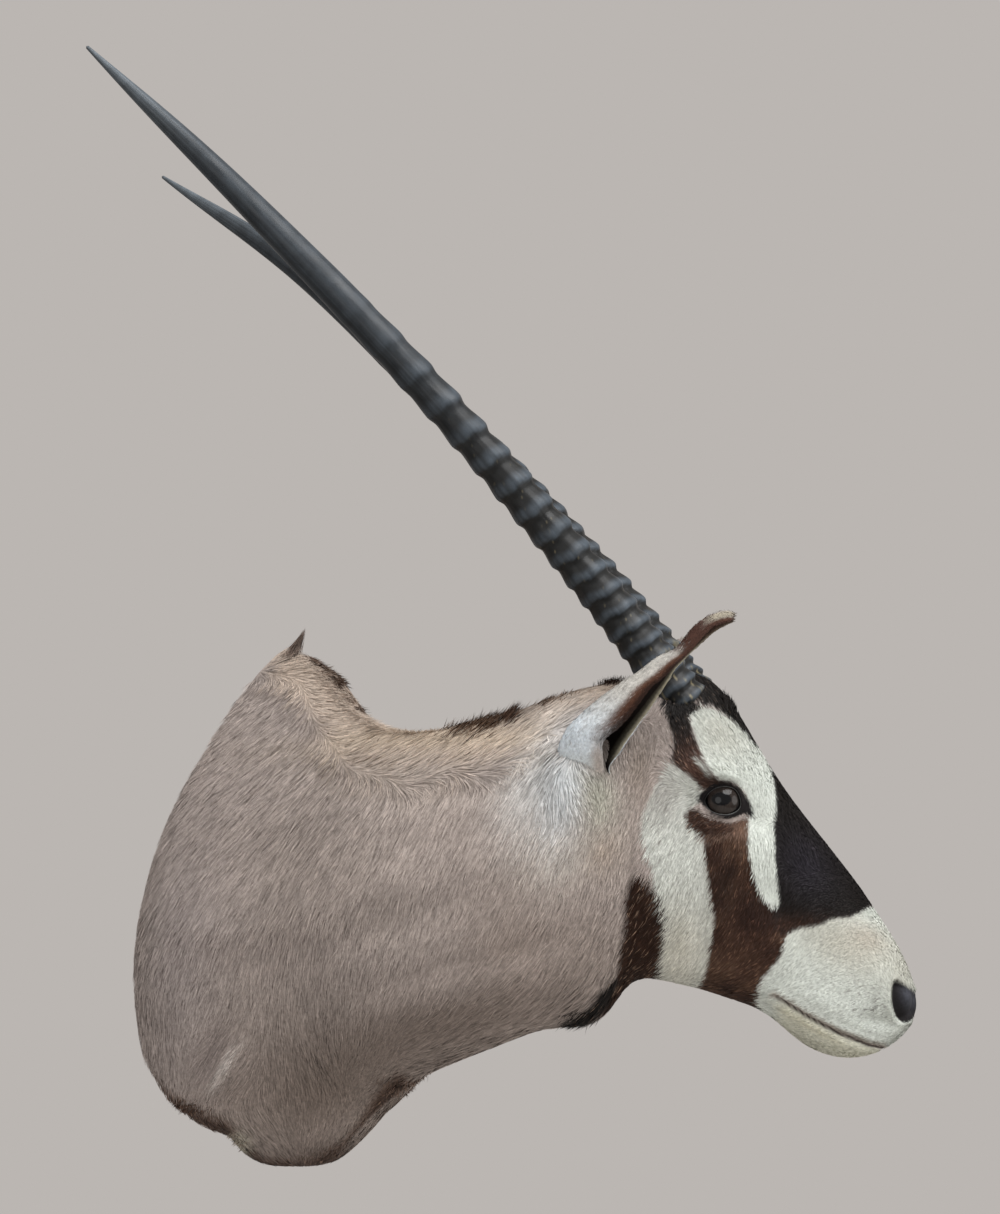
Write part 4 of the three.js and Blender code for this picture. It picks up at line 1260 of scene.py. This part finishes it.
def other_side(points):
    """The twins of points, on the other side of the head's middle plane."""
    return points - 2 * ((points - HEAD_ORIGIN) @ TO_LEFT)[..., None] * TO_LEFT
def make_ears():
    rows = np.array([(*back, *outer, *inner, *rest) for back, outer, inner, *rest in EAR_ROWS], float)
    t = np.linspace(0, 1, EAR_STEPS)
    rows = through(rows, t)
    off, half, roll, turned_out = rows[:, 6:].T
    back, near, far = (head_point(np.stack([rows[:, k], -off, rows[:, k + 1]], axis=1)) for k in (0, 2, 4))
    share = np.linspace(-1, 1, EAR_ARC + 1)
    angle = roll[:, None] * share[None, :]
    reach = ((1 - np.cos(angle)) / (1 - np.cos(roll))[:, None])[..., None]
    towards = np.where((share < 0)[None, :, None], (near - back)[:, None], (far - back)[:, None])
    deep = np.sin(angle) - (turned_out * np.sin(roll))[:, None] * np.maximum(share, 0) ** 3
    outer = back[:, None] + towards * reach + TO_LEFT * (half[:, None] * deep)[..., None]
    axis = back[:, None] + (near + far - 2 * back)[:, None] / 4
    shell = Sheet(outer, np.zeros((*outer.shape[:2], 2)), np.zeros_like(outer), outer - axis)
    thick = EAR_THICK[1] + (EAR_THICK[0] - EAR_THICK[1]) * (1 - share**2)
    thick = thick[None, :] * (1 - 0.6 * t)[:, None]
    thick = np.minimum(thick, half[:, None] * 0.5)
    ripple = 0.35 * noise(outer, 8.0) + 0.15 * noise(outer, 3.0)
    outer = outer + shell.normals * ripple[..., None]
    inner = outer - shell.normals * thick[..., None]
    shifts = (t**2)[:, None, None] * head_way(LEFT_EAR_SHIFT)
    place = np.stack(np.broadcast_arrays(t[:, None], share[None, :]), axis=-1)
    parts, rng = [], np.random.default_rng(9)
    for name, side in (("right", -1), ("left", 1)):
        outside, lining = outer, inner
        if side > 0:
            outside, lining = (other_side(grid) + shifts for grid in (outer, inner))
        shell = Sheet(outside, place, np.zeros_like(outside), outside - outside.mean(axis=1, keepdims=True))
        ring = np.concatenate([outside, lining[:, ::-1]], axis=1)
        colour = np.concatenate([ear_colour(place, outside), lining_colour(place)[:, ::-1]], axis=1)
        facing = np.concatenate([shell.normals, -shell.normals[:, ::-1]], axis=1)
        tip = (EAR_STEPS - 1, ring[-1].mean(axis=0), shell.along[-1, 0])
        every, faces = capped_tube(ring, facing, [tip])
        shades = np.concatenate([colour.reshape(-1, 3), [colour[-1].mean(axis=0)]])
        give(mesh_object(name + "_ear_skin", every, faces, shades), MATERIALS["skin"], "hide")
        parts += ear_hair(shell, rng)
    hair_object("ear_hair", parts)


def ear_colour(place, points):
    """The outside of the ear. place is the share of its length and of its arc, from near rim to far rim."""
    t, a = place[..., 0], place[..., 1]
    colour = np.broadcast_to(linear((230, 239, 246)), (*t.shape, 3)).copy()
    colour = mix(colour, (184, 176, 163), smooth(t, 0.24, 0.5) * 0.75)
    colour = mix(colour, (220, 226, 226), smooth(-t, -0.24, -0.12))
    speck = smooth(noise(points, 2.6), 0.35, 0.7) * smooth(t, 0.1, 0.25) * smooth(-t, -0.8, -0.6)
    colour = mix(colour, (96, 90, 86), speck * 0.45)
    rim = smooth(-np.abs(a + 1), -0.36, -0.18) * smooth(t, 0.22, 0.4)
    colour = mix(colour, (92, 62, 48), rim)
    colour = mix(colour, (40, 25, 20), smooth(-np.abs(a + 1), -0.16, -0.04) * smooth(t, 0.2, 0.34) * 0.9)
    colour = mix(colour, (178, 160, 148), smooth(-np.abs(a + 1), -0.28, -0.1) * smooth(-t, -0.3, -0.2) * 0.7)
    colour = mix(colour, (74, 50, 42), smooth(t, 0.66, 0.74) * (1 - 0.5 * smooth(t, 0.8, 0.9)))
    tip_edge = smooth(t, 0.82, 0.88) * smooth(-np.abs(a + 0.5), -0.35, -0.1)
    colour = mix(colour, (168, 160, 142), tip_edge * 0.8)
    return mix(colour, (70, 62, 56), smooth(t, 0.965, 0.99) * 0.9)


def lining_colour(place):
    """The inside of the ear: dark in the cup and pale along the far rim."""
    t, a = place[..., 0], place[..., 1]
    colour = np.broadcast_to(linear((26, 19, 17)), (*t.shape, 3)).copy()
    colour = mix(colour, (186, 180, 158), smooth(a, 0.92, 0.985) * smooth(t, 0.16, 0.24))
    colour = mix(colour, (70, 46, 38), smooth(-a, 0.75, 0.95) * smooth(t, 0.2, 0.34))
    return mix(colour, (80, 62, 52), smooth(t, 0.7, 0.85) * 0.8)


def ear_hair(shell, rng):
    """Short hair on the outside of the ear, pointing to its tip, and a fringe along the rims."""
    place = cells(shell.px)
    parts = []
    for count, length, lift, weight in (
        (8600, 5.0, 0.4, 0.4 + smooth(place[..., 0], 0.0, 0.5)),
        (1500, 6.0, 0.5, smooth(np.abs(place[..., 1]), 0.86, 0.98) * smooth(place[..., 0], 0.12, 0.3)),
    ):
        found = scatter(shell, count, weight, rng)
        ways = along_surface(found["along"] + rng.normal(0, 0.12, (count, 3)), found["normals"])
        colour = ear_colour(found["px"] + rng.normal(0, 0.02, (count, 2)), found["points"])
        lengths = length * rng.uniform(0.6, 1.2, count) * (1 - 0.45 * found["px"][:, 0])
        widths = 0.55 * rng.uniform(0.7, 1.3, count)
        parts.append(blades(found["points"], found["normals"], ways, lengths, widths, lift, colour, rng))
    return parts


# ======================================================== horns
HORNS = {  # points along the middle, in the head's own frame
    "right_horn": [
        (112, -27, 151), (92, -31, 176), (11, -50, 281),
        (-131, -87, 447), (-313, -128, 635), (-452, -150, 769),
    ],
    "left_horn": [
        (120, 27, 164), (101, 31, 190), (25, 50, 294),
        (-116, 85, 460), (-291, 120, 641), (-445, 140, 756),
    ],
}
HORN_RADII = [22.6, 20.2, 18.8, 17.9, 17.1, 16.2, 15, 13.4, 11.2, 7.8, 1.6]  # at even steps to the tip
RING_START = 6.0  # where the first ring begins, from the horn's lower end
RING_FIRST = 12.5  # the first ring's length
RING_GROWTH = 1.065  # each ring is this much longer than the one before
RING_COUNT = 20
RING_HEIGHT = 3.3
RING_RISE = 0.3  # the share of a ring's length over which it rises
RING_WAVES = 6  # waves round the horn that set the rings askew
HORN_RINGS = 430
HORN_SIDES = 72
# The first two colours below are the rings' crests in painted light and their grooves in painted shade.
HORN_LIT_BLUE = (57, 64, 71)
HORN_SHADED = (13, 13, 12)
HORN_TIP = (84, 91, 97)
HORN_DIRT = (136, 126, 98)


def horn_rings(x, a, rng):
    """Where points at x along a horn and at angle a round it are: their ring's number, and how far up it."""
    starts = RING_FIRST * (RING_GROWTH ** np.arange(RING_COUNT + 2) - 1) / (RING_GROWTH - 1)
    waves = sum(
        size * 0.55 * np.cos((k + 1) * a + turn * 3 + x[:, None] / (30 + 11 * k))
        for k, (size, turn) in enumerate(rng.normal(0, 1, (RING_WAVES, 2)))
    )
    number = np.interp(x[:, None] + 1.6 * np.cos(a) + waves, RING_START + starts, np.arange(len(starts)))
    phase = number - np.floor(number)
    slope = 1 - 0.75 * smooth(phase, RING_RISE, 1.0) - 0.25 * (phase - RING_RISE) / (1 - RING_RISE)
    return number, np.where(phase < RING_RISE, smooth(phase, 0, RING_RISE), slope)


def horn_colour(x, share, a, crest, grid, lumps):
    """Blue-black, with the rings' crests in painted light and their grooves in painted shade, the side
    towards the face lighter as painted light, paler at the tip, and dirt between the lower ones.
    """
    dark = linear(HORN_SHADED)
    # The rings' crests are painted lit and their grooves painted in shade.
    colour = dark + (linear(HORN_LIT_BLUE) - dark) * (0.04 + 0.96 * crest)[..., None]
    colour = mix(colour, HORN_TIP, smooth(share, 0.8, 1.0)[:, None] * np.ones_like(crest))
    streaks = noise(grid * np.array([0.35, 9, 9]), 2.0)
    # The 0.35 * cos(a) term makes the side towards the face lighter: painted light.
    colour = colour * (1 + 0.42 * streaks + 0.1 * lumps + 0.35 * np.cos(a))[..., None]
    dirt = smooth(noise(grid * np.array([6, 5, 5]), 1.7), 0.3, 0.7) * smooth(-x, -105, -60)[:, None]
    fleck = smooth(noise(grid * np.array([8, 3, 3]), 1.1), 0.72, 0.9) * smooth(-share, -0.5, -0.25)[:, None]
    return mix(colour, HORN_DIRT, np.maximum(dirt * 0.7, fleck * (1 - crest) * 0.4))


def make_horn(name, points, rng):
    path, length = curve_through(head_point(points), HORN_RINGS)
    along = unit(np.gradient(path, axis=0))
    front = unit(ALONG_FACE - along * (along @ ALONG_FACE)[:, None])
    side = np.cross(along, front)
    a = np.linspace(0, 2 * pi, HORN_SIDES, endpoint=False)[None, :]
    x = np.linspace(0, length, HORN_RINGS)
    share = x / length
    number, ridge = horn_rings(x, a, rng)
    fade = smooth(-share, -0.66, -0.34)[:, None]
    height = (RING_HEIGHT * fade + 0.2) * (0.85 + 0.15 * np.cos(a))
    height = height * (number > 0.05) * (number < RING_COUNT + 0.5)
    grid = np.stack(np.broadcast_arrays(x[:, None] / 26, 3 * np.cos(a), 3 * np.sin(a)), axis=-1)
    flutes = noise(grid * np.array([1, 4, 4]), 1.6)
    lumps = noise(grid, 1.2)
    radius = spline(HORN_RADII, share)[:, None] + height * (ridge - 0.62)
    radius = radius + 0.28 * flutes * smooth(-share, -0.9, -0.3)[:, None] + 0.35 * lumps * fade
    radius = np.maximum(radius, 0.7)
    flat = 1 + 0.05 * np.cos(2 * a)
    forward = (radius * flat * np.cos(a))[..., None] * front[:, None]
    sideways = (radius * np.sin(a))[..., None] * side[:, None]
    shape = path[:, None] + forward + sideways
    # How lit each point is painted: bright on the rings' crests, dark in their grooves, and even on the
    # smooth upper horn.
    crest = smooth(ridge, 0.4, 1.0) * fade + 0.6 * (1 - fade)
    colour = horn_colour(x, share, a, crest, grid, lumps)
    ends = [
        (0, path[0] - along[0] * 2, -along[0]),
        (HORN_RINGS - 1, path[-1] + along[-1] * 1.5, along[-1]),
    ]
    every, faces = capped_tube(shape, shape - path[:, None], ends)
    colours = np.concatenate([colour.reshape(-1, 3), [linear(HORN_SHADED)], [linear(HORN_TIP)]])
    horn = mesh_object(name + "_keratin", every, faces, np.clip(colours, 0.004, 1))
    give(horn, MATERIALS["horn"], "horn", name)


# ======================================================== eyes
EYE_STEPS = (48, 64)  # from pole to pole, and round


def make_eye(name, side):
    """A glass eye: a dark ball with a brown iris and a wide black pupil, under a clear coat."""
    centre = bend(EYE_CENTRE[0], EYE_CENTRE[1] * side, EYE_CENTRE[2])
    look = unit(TO_LEFT * side + ALONG_FACE * 0.05)
    across = unit(np.cross(UP, look))
    rise = np.cross(look, across)
    polar = np.linspace(0, pi, EYE_STEPS[0])[1:-1]
    turn = np.linspace(0, 2 * pi, EYE_STEPS[1], endpoint=False)
    p, q = np.meshgrid(polar, turn, indexing="ij")
    x, y = np.sin(p) * np.cos(q), np.sin(p) * np.sin(q)
    ball = x[..., None] * across + y[..., None] * rise + np.cos(p)[..., None] * look
    every, faces = capped_tube(ball, ball, [(0, look, look), (len(polar) - 1, -look, -look)])
    x, y, ahead = every @ across, every @ rise, every @ look
    out = np.hypot(x, y) + (ahead < 0) * 2
    back = x * side  # towards the back of the head
    iris = smooth(-np.hypot(back - 0.1, y) - (ahead < 0) * 2, -0.78, -0.7)
    pupil = smooth(-np.hypot((back - 0.2) / 0.5, (y - 0.06) / 0.34), -1.08, -0.92) * (ahead > 0)
    rays = noise(np.stack([np.arctan2(y, x) * 6, out * 2, out * 0], axis=1), 0.5)
    colour = mix(np.broadcast_to(linear((12, 10, 10)), every.shape), (46, 40, 37), iris)
    colour = colour * (1 + 0.25 * rays * iris)[:, None]
    colour = mix(colour, (9, 10, 13), pupil)
    eye = mesh_object(name + "_glass", centre + every * EYE_R, faces, np.clip(colour, 0.001, 1))
    give(eye, MATERIALS["eye"], "eye_glass", name)


# ======================================================== stage
FLOOR_BELOW = 0.85
FLOOR_HALF = 1600.0
BACKDROP = (187, 182, 178)
LIGHT_AIM = np.array([0.0, -0.3, 0.0])
# Name, metres from the aim to the camera's side, up and right, the two sizes, and watts.
LIGHTS = [
    ("key", (1.1, 2.3, 1.0), (2.4, 1.8), 78),
    ("fill", (2.2, 0.5, -1.4), (1.8, 1.8), 13),
    ("front", (1.0, 0.3, 2.2), (1.4, 1.8), 15),
]


def add_area_light(name, place, size, power):
    data = bpy.data.lights.new(name, "AREA")
    data.shape = "ELLIPSE"
    data.size, data.size_y = size
    data.energy = power
    light = bpy.data.objects.new(name, data)
    bpy.context.scene.collection.objects.link(light)
    light.location = Vector(LIGHT_AIM + place)
    light.rotation_euler = Vector(-place).to_track_quat("-Z", "Y").to_euler()


def make_sky():
    """An even backdrop that is darker below, so that little light comes up from there."""
    world = bpy.data.worlds.new("studio")
    bpy.context.scene.world = world
    world.use_nodes = True
    tree = world.node_tree
    sky = tree.nodes["Background"]
    sky.inputs["Color"].default_value = (*linear(BACKDROP), 1)
    place = tree.nodes.new("ShaderNodeTexCoord")
    parts = tree.nodes.new("ShaderNodeSeparateXYZ")
    tree.links.new(place.outputs["Generated"], parts.inputs["Vector"])
    strength = ranged(tree, parts.outputs["Z"], 0.35, 1.0, -0.5, -0.2)
    tree.links.new(strength, sky.inputs["Strength"])


def make_stage():
    bpy.context.scene.view_settings.view_transform = "Standard"
    make_sky()
    corners = np.array([(-1, -1, 0), (1, -1, 0), (1, 1, 0), (-1, 1, 0)]) * FLOOR_HALF
    corners = corners - UP * FLOOR_BELOW / MM
    floor = mesh_object("floor", corners, [np.array([[0, 1, 2, 3]])], smooth_faces=False)
    material, _, inputs = new_material("floor", 0.9, 0.2)
    inputs["Base Color"].default_value = (*linear((205, 202, 198)), 1)
    floor.data.materials.append(material)
    for name, (nearer, higher, righter), size, power in LIGHTS:
        add_area_light(name, unit(-LOOK) * nearer + LOOK_UP * higher + LOOK_RIGHT * righter, size, power)


# ======================================================== assembly
MATERIALS = {
    "hair": hair_material(),
    "skin": skin_material(),
    "horn": horn_material(),
    "eye": eye_material(),
    "ply": plywood_material(),
    "steel": steel_material(),
}


def dress_back():
    """The board, hanger plate and screws keep their CAD shapes."""
    for name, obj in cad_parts.items():
        if name == "backboard":
            material = MATERIALS["ply"]
        elif name.startswith("hanger") or name.startswith("board_screw"):
            material = MATERIALS["steel"]
        else:
            continue
        obj.data.materials.clear()
        obj.data.materials.append(material)


add_camera()
make_stage()
SHEET, FULL = make_hide()
neck_hair(SHEET)
head_hair(SHEET)
long_hair(SHEET)
make_eyelids(FULL)
make_ears()
for HORN_NAME, HORN_POINTS in HORNS.items():
    make_horn(HORN_NAME, HORN_POINTS, np.random.default_rng(len(HORN_NAME)))
make_eye("right_eye", -1)
make_eye("left_eye", 1)
dress_back()
